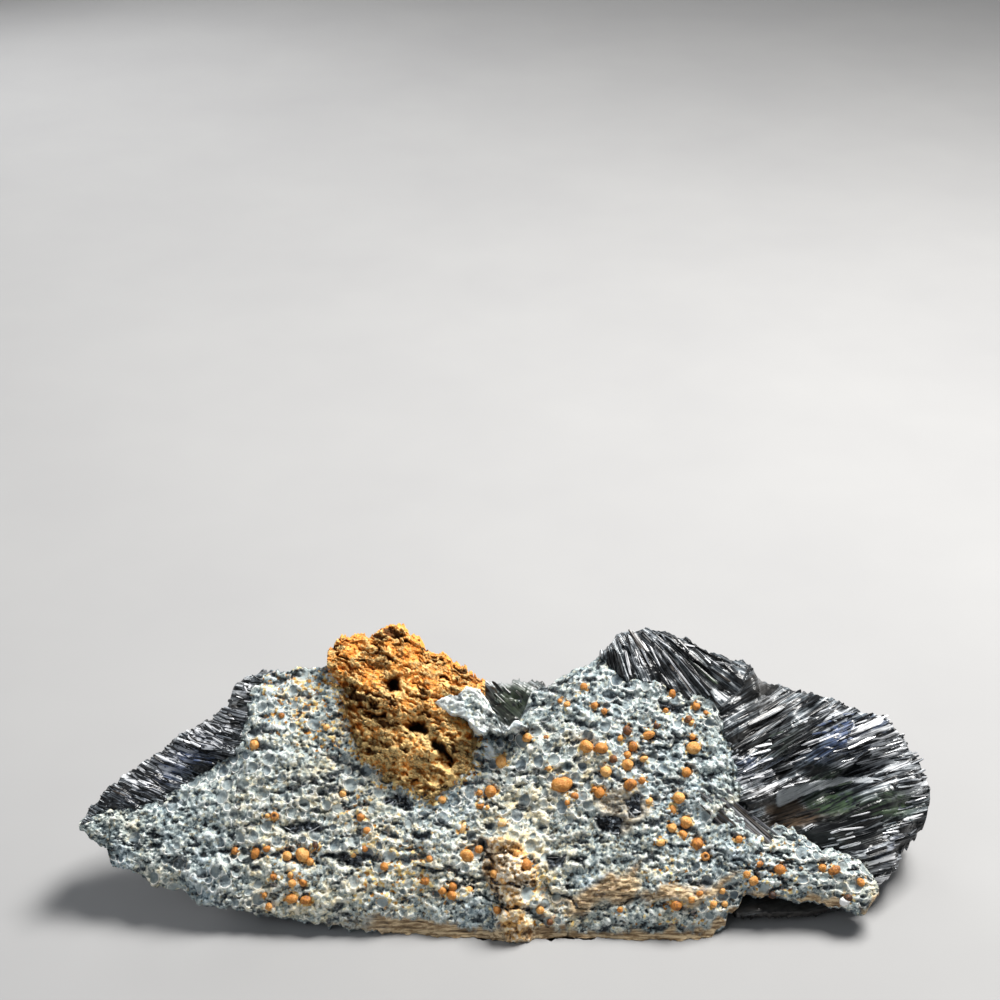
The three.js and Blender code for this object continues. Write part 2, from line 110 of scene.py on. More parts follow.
STAINS = [
    [-36, 40, 7, 0.8], [-32, 34, 5, 0.7], [-41, 43, 5, 0.6], [-20, 11, 8, 0.75], [-26, 21, 4, 0.6],
    [2, 8, 6, 0.9], [-11, 8, 4, 0.6], [28, 6, 9, 0.45], [45, 9, 8, 0.5], [-38, 11, 6, 0.4], [8, 3, 5, 0.5],
    [35.6, 43, 3, 0.8], [12, 42, 4, 0.3], [20, 30, 6, 0.3], [-57, 12, 4, 0.25],
]
GLOW = [
    [-32, 8, 11, 1], [-14, 10, 9, 0.9], [3, 17, 9, 1], [12, 29, 8, 0.5], [-36, 27, 9, 0.5], [26, 10, 8, 0.6],
    [6, 6, 9, 0.7],
]
# Ooliths: u, v, width, then the height if it differs, then the kind if it isn't brown: "d" dark, "g" greyish,
# "c" hollow, "p" pale and "w" white.
BEADS = [
    [13, 42, 1.4], [14.7, 38.7, 1.3], [16.4, 37.7, 1.2], [10, 38.9, 1.2], [8.8, 39.6, 0.9], [3.1, 33.2, 1.7],
    [20.3, 34.4, 1.7, 1.7, "d"], [24, 33.7, 2.7, 1.5], [25.4, 35.2, 1.2, 1.2, "d"], [31.1, 36.4, 1.4, 1.4, "d"],
    [31.6, 35.8, 1], [32.5, 38.7, 1.4], [34.1, 37.5, 1], [28.4, 40.9, 1.2, 1.7], [27.2, 38, 1],
    [13.3, 31.6, 2.5, 2.2], [15.9, 31.4, 2.4, 2], [19.1, 33, 1.1], [21.3, 31.7, 1.7], [20.3, 30.2, 1.4],
    [17.8, 29.5, 1.5, 1.5, "g"], [20.3, 28.6, 2.1], [23.2, 29.6, 1.5, 1.2], [16.6, 27.4, 2.1, 1.9],
    [9, 25.3, 3.8, 2.9], [11.2, 23.2, 1.4], [9.9, 22.1, 1], [15.4, 23.8, 1.7, 2.1], [20.7, 25.2, 2.4, 1.9],
    [22.7, 25.8, 1.4], [23.8, 22.4, 1.4], [30.4, 27.2, 1.7], [31.8, 31.5, 2.6, 2.3], [31.7, 33.4, 1.1],
    [29, 22.9, 2.1], [27.9, 20.9, 1.2, 1.7], [30.2, 18.8, 2.1], [27.8, 17.9, 1.6, 1.7], [29.6, 16.7, 1.7],
    [25.7, 15.4, 1.7, 1.2], [31.9, 15.2, 2.2, 2.1], [33.3, 13.1, 1.5, 1.5, "c"], [39, 15.9, 1.4, 1.5],
    [6.8, 27.9, 1], [6.3, 33.2, 1], [-31.5, 34.9, 1.2], [-7.1, 31.6, 1.9, 1.2], [-1.4, 29.2, 1.9, 2.5],
    [-3.3, 24, 2.1, 2.2], [-5.1, 23.8, 1.2], [-5, 21.6, 1.5, 1.2], [-3.8, 21.3, 0.9], [-11.5, 22.6, 1.4],
    [-1.1, 18.7, 2.1, 1.4, "p"], [-7.9, 17.9, 1, 2.4, "p"], [-28.5, 23.6, 1.2], [-25.4, 19.6, 1.4],
    [-24.2, 17.4, 1.4], [-7.3, 13.3, 2.5, 2.1], [-5.2, 14.3, 1.5], [-43.9, 32, 1.7], [-39.3, 37, 1],
    [-40.1, 19.9, 1.5, 1.5, "c"], [-41.3, 19.9, 0.9], [-33, 15, 1.2, 1.5, "d"], [-46.6, 14, 1.4],
    [-43.2, 13.7, 1.5, 2.1], [-41.3, 14.4, 1.5, 1.2], [-37.9, 13.2, 1.7], [-35.2, 13.4, 2.3, 2.7],
    [-33.9, 12.2, 1.3], [-26.5, 13.5, 1.2, 1.2, "p"], [-24.6, 14.4, 1.2], [-21.2, 11.5, 1.5],
    [-13.5, 12.7, 1.2], [-40, 9.7, 1.2], [-36.8, 8.7, 1.6, 1.5], [-35, 8.8, 1.4], [-37.1, 10, 1.2],
    [-41.6, 6.7, 1], [-36.9, 6.1, 2.3, 1.7], [-34.5, 5.9, 2.1, 1.5], [-40.9, 4.7, 1.4], [-14.3, 9, 1.4],
    [-9.6, 8.1, 1.6, 1.5], [-9.8, 6.7, 1.8, 1.7], [-11.4, 7.4, 1.4], [-7, 7.5, 1.5, 1.5, "p"],
    [-2.5, 10.2, 1.5], [2.8, 11.7, 1.9, 2.2], [1.3, 13.6, 1.4, 1.4, "p"], [-0.9, 9.2, 1.5, 1.5, "p"],
    [-2.1, 4.2, 1.4], [5.2, 4.2, 1.4], [6.9, 2.2, 1.2, 1.2, "d"], [18.7, 4.2, 1], [46, 10.9, 2.1, 1.8],
    [42.5, 11.8, 1.5, 1], [41.4, 9.1, 1.7], [40.3, 10.1, 1.4], [53.2, 11.2, 1.4], [55.2, 10.8, 2.3, 1.5],
    [59.6, 8.8, 1.3, 1.6], [57.4, 6.2, 2, 1.4, "d"], [28.2, 5, 1.9], [30.8, 6, 1.4], [32.1, 6.9, 1.4, 1],
    [36.1, 7.4, 1.2], [34.5, 5.2, 1.4], [36.6, 5.2, 1.2, 1.2, "p"], [44.7, 6.7, 1.4, 1.4, "d"],
    [57, 5.8, 2.4, 1.6, "w"], [14.6, 24.4, 1.2, 0.9],
]
BEADS = [(*row, *(row[2], "")[len(row) - 3 :]) for row in BEADS]  # every row in full
BEAD_TONES = {
    "": (0.42, 0.72), "d": (0.05, 0.25), "g": (0.2, 0.35), "c": (0.45, 0.6), "p": (0.66, 0.86), "w": (1.5, 1.5),
}
LAYER_U, LAYER_V = 0.91, 0.41  # the direction in which the ironstone's layers run
HOLES = [  # in the ironstone
    [[-21.4, 43], [-19, 43.4], [-18.6, 41], [-20.6, 40.6]],
    [[-18, 35.4], [-14, 35.6], [-14.4, 33.8], [-17.4, 34]],
    [[-13, 32.6], [-11.8, 32.4], [-10.6, 31], [-9, 29.2], [-9.8, 28.4], [-11.4, 30], [-13, 31.2]],
    [[-24.8, 37.4], [-21.2, 37.4], [-21.4, 36.4], [-24, 36.2]],
]
# The largest grains of the ironstone: u, v, radius.
LARGE_GRAINS = [[-23.6, 34.2, 1.15], [-19.6, 31.2, 0.9], [-11, 31, 0.8], [-18.8, 37, 1.15]]
# The slab's pieces: name, where each starts and how many points go up its front.
SLAB_PIECES = [
    ["left_wing", -73.4, 96], ["left", -47, 200], ["middle", -20, 216], ["right", 10, 210], ["arm", 41.4, 74],
]
FINE = 0.02  # steps along the slab in which its outline is measured
SECTION_GAP = 0.185  # between two sections of the slab
OVERLAP = 0.12  # of one piece of the slab over the last


def to_world(points):
    """Places in metres of points given in millimetres as u, v, w. Nothing goes under the table."""
    u, v, w = np.moveaxis(np.asarray(points, float), -1, 0)
    c, s = math.cos(LEAN), math.sin(LEAN)
    height = np.maximum(FOOT[2] + v * s + w * c, 0)
    return np.stack([FOOT[0] + u, FOOT[1] + v * c - w * s, height], -1) / 1000


def to_face(points):
    """The u, v, w in millimetres of places given in metres."""
    x, y, z = np.moveaxis(np.asarray(points, float) * 1000 - FOOT, -1, 0)
    c, s = math.cos(LEAN), math.sin(LEAN)
    return np.stack([x, y * c + z * s, z * c - y * s], -1)


# ---- arithmetic over the face -------------------------------------------------------------------


NOISE_SIZE, CHIP_SIZE = 128, 64  # units after which noise and chips repeat


def noise(x, y, seed):
    """Smooth noise from -1 to 1, its lumps one unit across."""
    table = np.random.default_rng(seed).uniform(-1, 1, (NOISE_SIZE, NOISE_SIZE))
    i, j = np.floor(x).astype(int), np.floor(y).astype(int)
    s, t = x - i, y - j
    s, t = s * s * (3 - 2 * s), t * t * (3 - 2 * t)

    def corner(right, up):
        return table[(j + up) % NOISE_SIZE, (i + right) % NOISE_SIZE]

    lower = corner(0, 0) * (1 - s) + corner(1, 0) * s
    upper = corner(0, 1) * (1 - s) + corner(1, 1) * s
    return lower * (1 - t) + upper * t


def rough(x, y, seed, octaves=4, gain=0.5):
    """Noise with finer and finer lumps, each layer turned against the last."""
    total = np.zeros(np.broadcast(x, y).shape)
    size, turn = 1.0, 0.0
    for n in range(octaves):
        turn += 0.7
        a, b = x * math.cos(turn) - y * math.sin(turn), x * math.sin(turn) + y * math.cos(turn)
        total = total + size * noise(a * 2.03**n, b * 2.03**n, seed + n)
        size *= gain
    return total


def chipped(x, y, seed):
    """Flat chips one unit across at their own heights and tilts, about -1 to 1, and a number for each."""
    table = np.random.default_rng(seed).random((CHIP_SIZE, CHIP_SIZE, 6))
    column, row = np.floor(x).astype(int), np.floor(y).astype(int)
    best = np.full(x.shape, 9.0)
    height, number = np.zeros(x.shape), np.zeros(x.shape)
    for i in (column - 1, column, column + 1):
        for j in (row - 1, row, row + 1):
            chip = table[j % CHIP_SIZE, i % CHIP_SIZE]
            a, b = x - i - chip[..., 0], y - j - chip[..., 1]
            d = a * a + b * b
            nearer = d < best
            slope = a * (chip[..., 3] - 0.5) + b * (chip[..., 4] - 0.5)
            height = np.where(nearer, 1.6 * (chip[..., 2] - 0.5) + 1.8 * slope, height)
            number = np.where(nearer, chip[..., 5], number)
            best = np.where(nearer, d, best)
    return height, number


def step(low, high, x):
    """0 below low, 1 above high and smooth between."""
    t = np.clip((x - low) / (high - low), 0, 1)
    return t * t * (3 - 2 * t)


def along(corners, u):
    """The height of an outline at u."""
    corners = np.array(corners)
    return np.interp(u, corners[:, 0], corners[:, 1])


def gap_to(line, u, v):
    """Distance of each point from a line with the given corners."""
    best = np.full(np.broadcast(u, v).shape, 1e9)
    for (a, b), (c, d) in zip(line[:-1], line[1:]):
        du, dv = c - a, d - b
        t = np.clip(((u - a) * du + (v - b) * dv) / (du * du + dv * dv), 0, 1)
        best = np.minimum(best, np.hypot(u - a - t * du, v - b - t * dv))
    return best


def inside(outline, u, v):
    """Signed distance into an outline: above 0 within it."""
    within = np.zeros(np.broadcast(u, v).shape, bool)
    ring = [*outline, outline[0]]
    for (a, b), (c, d) in zip(ring[:-1], ring[1:]):
        if b != d:
            within ^= ((b > v) != (d > v)) & (u < (c - a) * (v - b) / (d - b) + a)
    return np.where(within, 1, -1) * gap_to(ring, u, v)


def inside_any(outlines, u, v):
    """The same for the outline that a place is deepest in."""
    return np.max([inside(outline, u, v) for outline in outlines], axis=0)


def blur(values, cells):
    """Values softened over that many cells."""
    across = np.fft.rfftfreq(values.shape[1])[None, :]
    up = np.fft.fftfreq(values.shape[0])[:, None]
    keep = np.exp(-2 * (math.pi * cells) ** 2 * (across**2 + up**2))
    return np.fft.irfft2(np.fft.rfft2(values) * keep, s=values.shape)


def filled(values, cells):
    """Values with the gaps in them filled from what surrounds them."""
    known = ~np.isnan(values)
    out = values.copy()
    for reach in (cells, 3 * cells, 9 * cells, 30 * cells):
        share = blur(known.astype(float), reach)
        smooth = blur(np.where(known, values, 0), reach) / np.maximum(share, 1e-6)
        gap = np.isnan(out) & (share > 0.02)
        out[gap] = smooth[gap]
    return np.nan_to_num(out)


class Patch:
    """A rectangle of the face in small square cells. Its arrays run [v, u]."""

    def __init__(self, u, v, cell):
        self.low, self.cell = (u[0], v[0]), cell
        self.u, self.v = np.meshgrid(np.arange(u[0], u[1], cell), np.arange(v[0], v[1], cell))

    def at(self, values, u, v):
        """Values between the cells."""
        x = np.clip((u - self.low[0]) / self.cell, 0, values.shape[1] - 1.001)
        y = np.clip((v - self.low[1]) / self.cell, 0, values.shape[0] - 1.001)
        i, j = x.astype(int), y.astype(int)
        s, t = x - i, y - j
        lower = values[j, i] * (1 - s) + values[j, i + 1] * s
        return lower * (1 - t) + (values[j + 1, i] * (1 - s) + values[j + 1, i + 1] * s) * t

    def near(self, u, v, reach):
        """The window of cells within reach of a place."""
        i, j = int((u - self.low[0]) / self.cell), int((v - self.low[1]) / self.cell)
        n = int(reach / self.cell) + 1
        return slice(max(j - n, 0), max(j + n + 1, 0)), slice(max(i - n, 0), max(i + n + 1, 0))

    def rough(self, wide, tall, seed, *more):
        """Noise over the cells, its lumps that wide and tall."""
        return rough(self.u / wide, self.v / tall, seed, *more)

    def base(self, node, cells, front=True):
        """Heights of a CAD node over the cells, softened."""
        return blur(filled(probe(node, self, front), 2), cells)


def probe(node, patch, front=True):
    """Heights of a CAD node over a patch, seen from the front or from the back."""
    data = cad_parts[node].data
    data.calc_loop_triangles()
    points = [Vector(p) for p in to_face([v.co for v in data.vertices])]
    tree = BVHTree.FromPolygons(points, [list(t.vertices) for t in data.loop_triangles])
    far_off = 60
    start, ray = (far_off, Vector((0, 0, -1))) if front else (-far_off, Vector((0, 0, 1)))
    found = [
        tree.ray_cast(Vector((u, v, start)), ray)[0]
        for u, v in zip(patch.u.ravel(), patch.v.ravel())
    ]
    heights = [math.nan if place is None else place[2] for place in found]
    return np.array(heights).reshape(patch.u.shape)


def strewn(count, u, v, radii, allowed, seed, apart=1.0, tries=14):
    """Round places that keep their distance: an array of [u, v, radius], larger ones first."""
    rng = np.random.default_rng(seed)
    sizes = np.sort(radii[0] + (radii[1] - radii[0]) * rng.random(count) ** 2.4)[::-1]
    placed = np.zeros((0, 3))
    for radius in sizes:
        for _ in range(tries):
            a, b = rng.uniform(*u), rng.uniform(*v)
            if rng.random() > allowed(a, b):
                continue
            gaps = np.hypot(placed[:, 0] - a, placed[:, 1] - b) - apart * (placed[:, 2] + radius)
            if len(placed) == 0 or gaps.min() > 0:
                placed = np.vstack([placed, [a, b, radius]])
                break
    return placed


# ---- meshes -------------------------------------------------------------------------------------


def made(name, points, faces, marks, material, replaced=(), smooth=True):
    """Makes a mesh piece from points in the face's axes, lists of faces and numbers marked on its points."""
    data = bpy.data.meshes.new(name)
    sizes = np.concatenate([np.full(len(f), f.shape[1]) for f in faces])
    corners = np.concatenate([f.ravel() for f in faces]).astype(np.int32)
    data.vertices.add(len(points))
    data.vertices.foreach_set("co", to_world(points).astype(np.float32).ravel())
    data.loops.add(len(corners))
    data.loops.foreach_set("vertex_index", corners)
    data.polygons.add(len(sizes))
    data.polygons.foreach_set("loop_start", (np.cumsum(sizes) - sizes).astype(np.int32))
    data.update(calc_edges=True)
    data.polygons.foreach_set("use_smooth", (sizes == 4) & smooth)
    for mark, values in marks.items():
        values = np.asarray(values, np.float32)
        kind, field = ("FLOAT", "value") if values.ndim == 1 else ("FLOAT_VECTOR", "vector")
        data.attributes.new(mark, kind, "POINT").data.foreach_set(field, values.ravel())
    data.materials.append(material)
    piece = bpy.data.objects.new(name, data)
    bpy.context.scene.collection.objects.link(piece)
    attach(piece, "root")
    if replaced:
        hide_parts(*replaced)


def lofted(rings):
    """Points and faces of closed bodies, each a row of rings with a cap at both ends.

    rings runs [body, ring, point, axis]; points go round so that the faces look outwards."""
    bodies, rows, size, _ = rings.shape
    middles = rings[:, [0, -1]].mean(axis=2)
    points = np.concatenate([rings.reshape(bodies, rows * size, 3), middles], axis=1)
    first = np.arange(bodies)[:, None] * (rows * size + 2)
    r, c = np.meshgrid(np.arange(rows - 1), np.arange(size), indexing="ij")
    a, b = (r * size + c).ravel(), (r * size + (c + 1) % size).ravel()
    sides = np.stack([a, a + size, b + size, b], -1)
    n = np.arange(size)
    last = (rows - 1) * size
    start = np.stack([np.full(size, rows * size), n, (n + 1) % size], -1)
    end = np.stack([np.full(size, rows * size + 1), last + (n + 1) % size, last + n], -1)
    caps = np.concatenate([start, end])
    sides = (first[:, :, None] + sides[None]).reshape(-1, 4)
    caps = (first[:, :, None] + caps[None]).reshape(-1, 3)
    return points.reshape(-1, 3), [sides, caps]


def up_and_down(low, high, front_points, back_points):
    """v over the front of each section from low to high, and over its back from high to low."""
    span = high - low
    return low + span * np.linspace(0, 1, front_points)[None], low + span * np.linspace(1, 0, back_points)[None]


def shell(u, low, high, front, back, bulge, rows):
    """A closed body with a section at every u: front, rough wall along high, back, rough wall along low.

    front and back are v and w over each section, and bulge(w, upper) is how far a wall stands out.
    Gives points, faces and 1 for the points of the front."""
    drop = np.linspace(0, 1, rows)[None, 1:-1]
    parts = []
    for (v, w), (_, w_next), edge, upper in ((front, back, high, True), (back, front, low, False)):
        w_wall = w[:, -1:] + (w_next[:, :1] - w[:, -1:]) * drop
        out = (1 if upper else -1) * bulge(w_wall, upper) * np.sin(math.pi * drop) ** 0.4
        parts += [np.stack([u + 0 * v, v, w], -1), np.stack([u + 0 * w_wall, edge + out, w_wall], -1)]
    rings = np.concatenate(parts, axis=1)
    points, faces = lofted(rings[None])
    on_front = np.zeros(rings.shape[:2])
    on_front[:, : front[0].shape[1]] = 1
    return points, faces, np.append(on_front.ravel(), [0, 0])


# ---- materials ----------------------------------------------------------------------------------


def rgb(red, green, blue):
    """A screen colour, 0 to 255, as light."""
    return (*(((c / 255 + 0.055) / 1.055) ** 2.4 if c > 10 else c / 3295 for c in (red, green, blue)), 1)


class Wire:
    """A value in a material. Arithmetic on it adds the Math nodes that work it out."""

    def __init__(self, paint, socket):
        self.paint, self.socket = paint, socket

    def _math(self, operation, *values):
        return self.paint.node("ShaderNodeMath", {"operation": operation}, *values)

    def __add__(self, other):
        return self._math("ADD", self, other)

    def __mul__(self, other):
        return self._math("MULTIPLY", self, other)

    def __sub__(self, other):
        return self._math("SUBTRACT", self, other)

    def __rsub__(self, other):
        return self._math("SUBTRACT", other, self)

    __radd__ = __add__
    __rmul__ = __mul__

    def step(self, low, high):
        """0 below low, 1 above high and smooth between."""
        ends = {"From Min": low, "From Max": high}
        return self.paint.node("ShaderNodeMapRange", {"interpolation_type": "SMOOTHSTEP"}, self, **ends)


class Paint:
    """A material under construction."""

    def __init__(self, name, **constants):
        self.material = bpy.data.materials.new(name)
        self.material.use_nodes = True
        self.tree = self.material.node_tree
        self.shader = self.tree.nodes["Principled BSDF"]
        for socket, value in constants.items():
            self.shader.inputs[socket.replace("_", " ")].default_value = value
        self.place = self.node("ShaderNodeTexCoord", {}, output="Object")

    def node(self, kind, settings, *values, output=0, **named):
        """Adds any node, its settings first, and gives the value of one of its outputs."""
        made_node = self.tree.nodes.new(kind)
        for key, value in settings.items():
            setattr(made_node, key, value)
        for key, value in [*enumerate(values), *named.items()]:
            socket = made_node.inputs[key]
            if isinstance(value, Wire):
                self.tree.links.new(value.socket, socket)
            elif value is not None:
                socket.default_value = value
        return Wire(self, made_node.outputs[output])

    def mark(self, name, output="Fac"):
        """A number marked on the mesh, or with "Vector" three of them."""
        return self.node("ShaderNodeAttribute", {"attribute_name": name}, output=output)

    def noise(self, size, detail=3.0, seed=0.0, stretch=None, place=None):
        """Noise with lumps that many millimetres across, stretched by the factors along each axis."""
        place = place or self.place
        if stretch or seed:
            moved = {"Location": (seed, seed, -seed), "Scale": stretch or (1, 1, 1)}
            place = self.node("ShaderNodeMapping", {}, place, **moved)
        named = {"Scale": 1000 / size, "Detail": detail, "Roughness": 0.6}
        return self.node("ShaderNodeTexNoise", {}, place, None, **named)

    def cells(self, size):
        """Two random numbers for each crumb of that many millimetres."""
        noise = {"output": "Color", "Scale": 1200 / size, "Detail": 2.0}
        shaken = self.node("ShaderNodeTexNoise", {}, self.place, None, **noise)
        added = {"operation": "MULTIPLY_ADD"}
        place = self.node("ShaderNodeVectorMath", added, shaken, (size / 1500,) * 3, self.place)
        cell = self.node("ShaderNodeTexVoronoi", {}, place, None, output="Color", Scale=1000 / size)
        return [self.node("ShaderNodeSeparateColor", {}, cell, output=n) for n in (0, 1)]

    def mix(self, amount, *colours):
        """From the first colour to the second: values, or screen colours from 0 to 255."""
        first, second = (rgb(*c) if isinstance(c, tuple) else c for c in colours)
        unused = [None] * 5  # inputs of the node for numbers and vectors
        return self.node("ShaderNodeMix", {"data_type": "RGBA"}, amount, *unused, first, second, output=2)

    def shades(self, amount, *stops):
        """A colour for an amount, from stops of (amount, red, green, blue)."""
        colour = stops[0][1:]
        for stop, after in zip(stops[:-1], stops[1:]):
            colour = self.mix(amount.step(stop[0], after[0]), colour, after[1:])
        return colour

    def bump(self, height, depth):
        """A normal for relief of that depth, in millimetres."""
        return self.node("ShaderNodeBump", {}, Strength=1.0, Distance=depth / 1000, Height=height)

    def finish(self, **sockets):
        """Joins values to the shader and gives the material."""
        for name, value in sockets.items():
            self.tree.links.new(value.socket, self.shader.inputs[name.replace("_", " ")])
        return self.material


def rind_paint():
    p = Paint("rind", Specular_IOR_Level=0.4)
    lift, pit, arc, tone, clear, stain = map(p.mark, ("lift", "pit", "arc", "tone", "clear", "stain"))
    buff, brown, dark, depth, white, warm = map(p.mark, ("buff", "brown", "dark", "depth", "white", "warm"))
    mottle, grit, cloud = p.noise(2.2, 4), p.noise(0.4, 4, 0.3), p.noise(7, 3, 0.7)
    fleck, hue = p.cells(0.5)
    grain, crumb = p.cells(1.1)
    patches = mottle - 0.5

    # The face: grey, with cream and rusty flecks and warmer and cooler parts. lift makes raised crumbs lighter
    # and hollows darker: painted light and shade.
    shade = 0.5 + 0.3 * lift + 0.5 * (fleck - 0.5) + 1.0 * (grit - 0.5) + 0.6 * patches
    shade = shade + 0.45 * (cloud - 0.5) + 0.7 * white + 0.13 * warm
    colour = p.shades(
        shade, (0, 26, 30, 34), (0.22, 88, 98, 104), (0.43, 152, 164, 166),
        (0.64, 202, 210, 206), (0.9, 255, 255, 250),
    )
    cream = p.shades(shade, (0.2, 84, 70, 52), (0.45, 180, 162, 126), (0.75, 252, 242, 208))
    colour = p.mix(0.6 * (hue + 0.3 * warm + 0.6 * patches).step(0.8, 0.94), colour, cream)
    rust = p.shades(shade, (0.15, 92, 54, 24), (0.45, 206, 142, 60), (0.75, 252, 224, 158))
    colour = p.mix((hue + 0.7 * stain + 0.5 * patches).step(1.08, 1.2), colour, rust)
    drift = (p.noise(16, 2, 0.25) + 0.3 * warm).step(0.42, 0.68)
    tint = p.mix(drift, (212, 226, 238), (244, 234, 212))
    tint = p.mix((cloud + mottle - 0.5).step(0.35, 0.75), (238, 242, 242), tint)
    colour = p.node("ShaderNodeVectorMath", {"operation": "MULTIPLY"}, colour, tint)

    # The imprints: a floor of one tone and a pale rim, the rim a painted highlight on their lower side.
    edge = pit + 0.12 * (grit - 0.5)
    off = p.node("ShaderNodeMath", {"operation": "ABSOLUTE"}, edge + 0.07)
    ring = (1 - off.step(0.04, 0.13)) * arc
    bowl = edge.step(0.0, 0.07) * clear
    colour = p.mix(bowl * 0.9, colour, p.mix(tone + 0.5 * patches, (104, 118, 128), (178, 190, 190)))
    colour = p.mix(ring, colour, p.mix(stain * 0.6, (252, 252, 248), (250, 228, 164)))

    # The buff column, the brown lip and patches, and the dark hollows. The dark mark also carries painted shade
    # in cracks, gashes and crevices.
    # lift makes the column's raised parts lighter and its hollows darker: painted light and shade.
    chalky = 0.36 + 0.3 * lift + 0.3 * (fleck - 0.5) + 0.6 * (grit - 0.5) + 0.7 * patches
    column = p.shades(
        chalky, (0.04, 84, 64, 46), (0.3, 172, 146, 112), (0.5, 226, 206, 176), (0.8, 254, 248, 234)
    )
    ochre = p.shades(chalky, (0.1, 120, 78, 34), (0.5, 222, 166, 84), (0.9, 252, 228, 170))
    column = p.mix(0.85 * (0.3 * hue + cloud + 0.7 * patches).step(0.5, 0.7), column, ochre)
    colour = p.mix(buff, colour, column)
    streaks = p.noise(1.0, 4, 0.2, (0.3, 2.2, 2.2))
    lip = p.shades(streaks, (0.3, 60, 44, 28), (0.45, 152, 124, 88), (0.6, 230, 204, 162))
    colour = p.mix(brown, colour, lip)
    glint = hue + 0.8 * (grit - 0.5)
    glassy = p.shades(glint, (0.3, 10, 12, 16), (0.6, 44, 50, 58), (0.8, 92, 100, 110), (1.0, 176, 184, 190))
    colour = p.mix(dark, colour, glassy)

    # The broken sides and back, with brown and paler blotches.
    fibre = 0.5 + 0.6 * (p.noise(1.3, 5, 0.5, (1.6, 0.8, 0.8)) - 0.5)
    fibre = fibre + 0.24 * (grain - 0.5) + 0.6 * (grit - 0.5)
    body = p.shades(fibre, (0.2, 24, 28, 34), (0.45, 84, 92, 100), (0.62, 138, 146, 148), (0.8, 196, 200, 192))
    blotch = p.noise(11, 4, 0.45) + 0.3 * (fibre - 0.5)
    rusty = p.shades(fibre, (0.3, 36, 24, 16), (0.55, 106, 78, 48), (0.75, 168, 146, 108))
    body = p.mix(0.7 * blotch.step(0.56, 0.66), body, rusty)
    pale = p.shades(fibre, (0.3, 50, 58, 62), (0.55, 108, 118, 118), (0.75, 170, 176, 170))
    body = p.mix(0.6 * blotch.step(0.42, 0.34), body, pale)
    colour = p.mix((depth + 1.2 * patches).step(1.2, 2.6), colour, body)

    gloss = 0.85 - 0.45 * brown - 0.5 * dark - 0.3 * depth.step(1.5, 3)
    lumps = depth.step(0.8, 2) * (0.6 * grain + 0.4 * crumb)
    relief = lumps + (0.8 * grit + 0.5 * fleck + 0.3 * mottle) * (1 - 0.8 * bowl) + 0.5 * ring
    return p.finish(Base_Color=colour, Roughness=gloss, Normal=p.bump(relief, 0.2))


def crystal_paint():
    p = Paint("crystal", Specular_IOR_Level=0.45, Coat_Roughness=0.1)
    streak, gleam, facet = map(p.mark, ("streak", "gleam", "facet"))
    green, blue, brown = map(p.mark, ("green", "blue", "brown"))
    comb = p.mark("comb", "Vector")
    bands = p.noise(1.0, 1, 0.9, (0.07, 0.9, 1), comb)
    fine = p.noise(1.0, 1, 0.1, (0.12, 2.2, 1), comb)
    thin = p.noise(1.0, 1, 0.4, (0.26, 4.6, 1), comb)
    broken, cloud = p.noise(1.2, 4, 0.7), p.noise(3.0, 3, 0.8)
    # The brightest lines stand in for glints on the striations: painted highlight.
    lines = 1.3 * (bands - 0.5) + 1.7 * (fine - 0.5) + 1.3 * (thin - 0.5)
    lines = lines * (1 - 0.8 * facet) * (1 - 0.35 * green) * (1 - 0.35 * brown)
    shade = 0.12 + 0.55 * streak + lines * (0.75 + 0.5 * gleam) + 0.3 * (broken - 0.5) + 0.45 * (cloud - 0.5)
    colour = p.shades(shade, (0.1, 4, 5, 8), (0.34, 27, 31, 35), (0.56, 90, 98, 104), (0.86, 212, 217, 220))
    tinted = shade.step(0.15, 0.5)
    patchy = (cloud + broken - 0.5).step(0.28, 0.5)
    colour = p.mix(green * tinted * patchy, colour, (50, 68, 42))
    colour = p.mix(blue * tinted * patchy, colour, (42, 68, 112))
    colour = p.mix(0.9 * brown * tinted, colour, (80, 62, 42))
    # gleam paints crystals near white and a little metallic: painted highlight and reflection.
    painted_gleam = gleam * shade.step(0.3, 0.6)
    colour = p.mix(painted_gleam, colour, (242, 243, 246))
    dull = facet * (broken + 0.3 * cloud).step(0.3, 0.8)
    colour = p.mix(0.5 * dull, colour, (84, 80, 74))
    return p.finish(
        Base_Color=colour, Roughness=0.18 + 0.3 * broken, Metallic=0.3 * painted_gleam,
        Coat_Weight=0.25 * cloud, Normal=p.bump(fine + 0.6 * thin + 0.4 * broken, 0.12),
    )


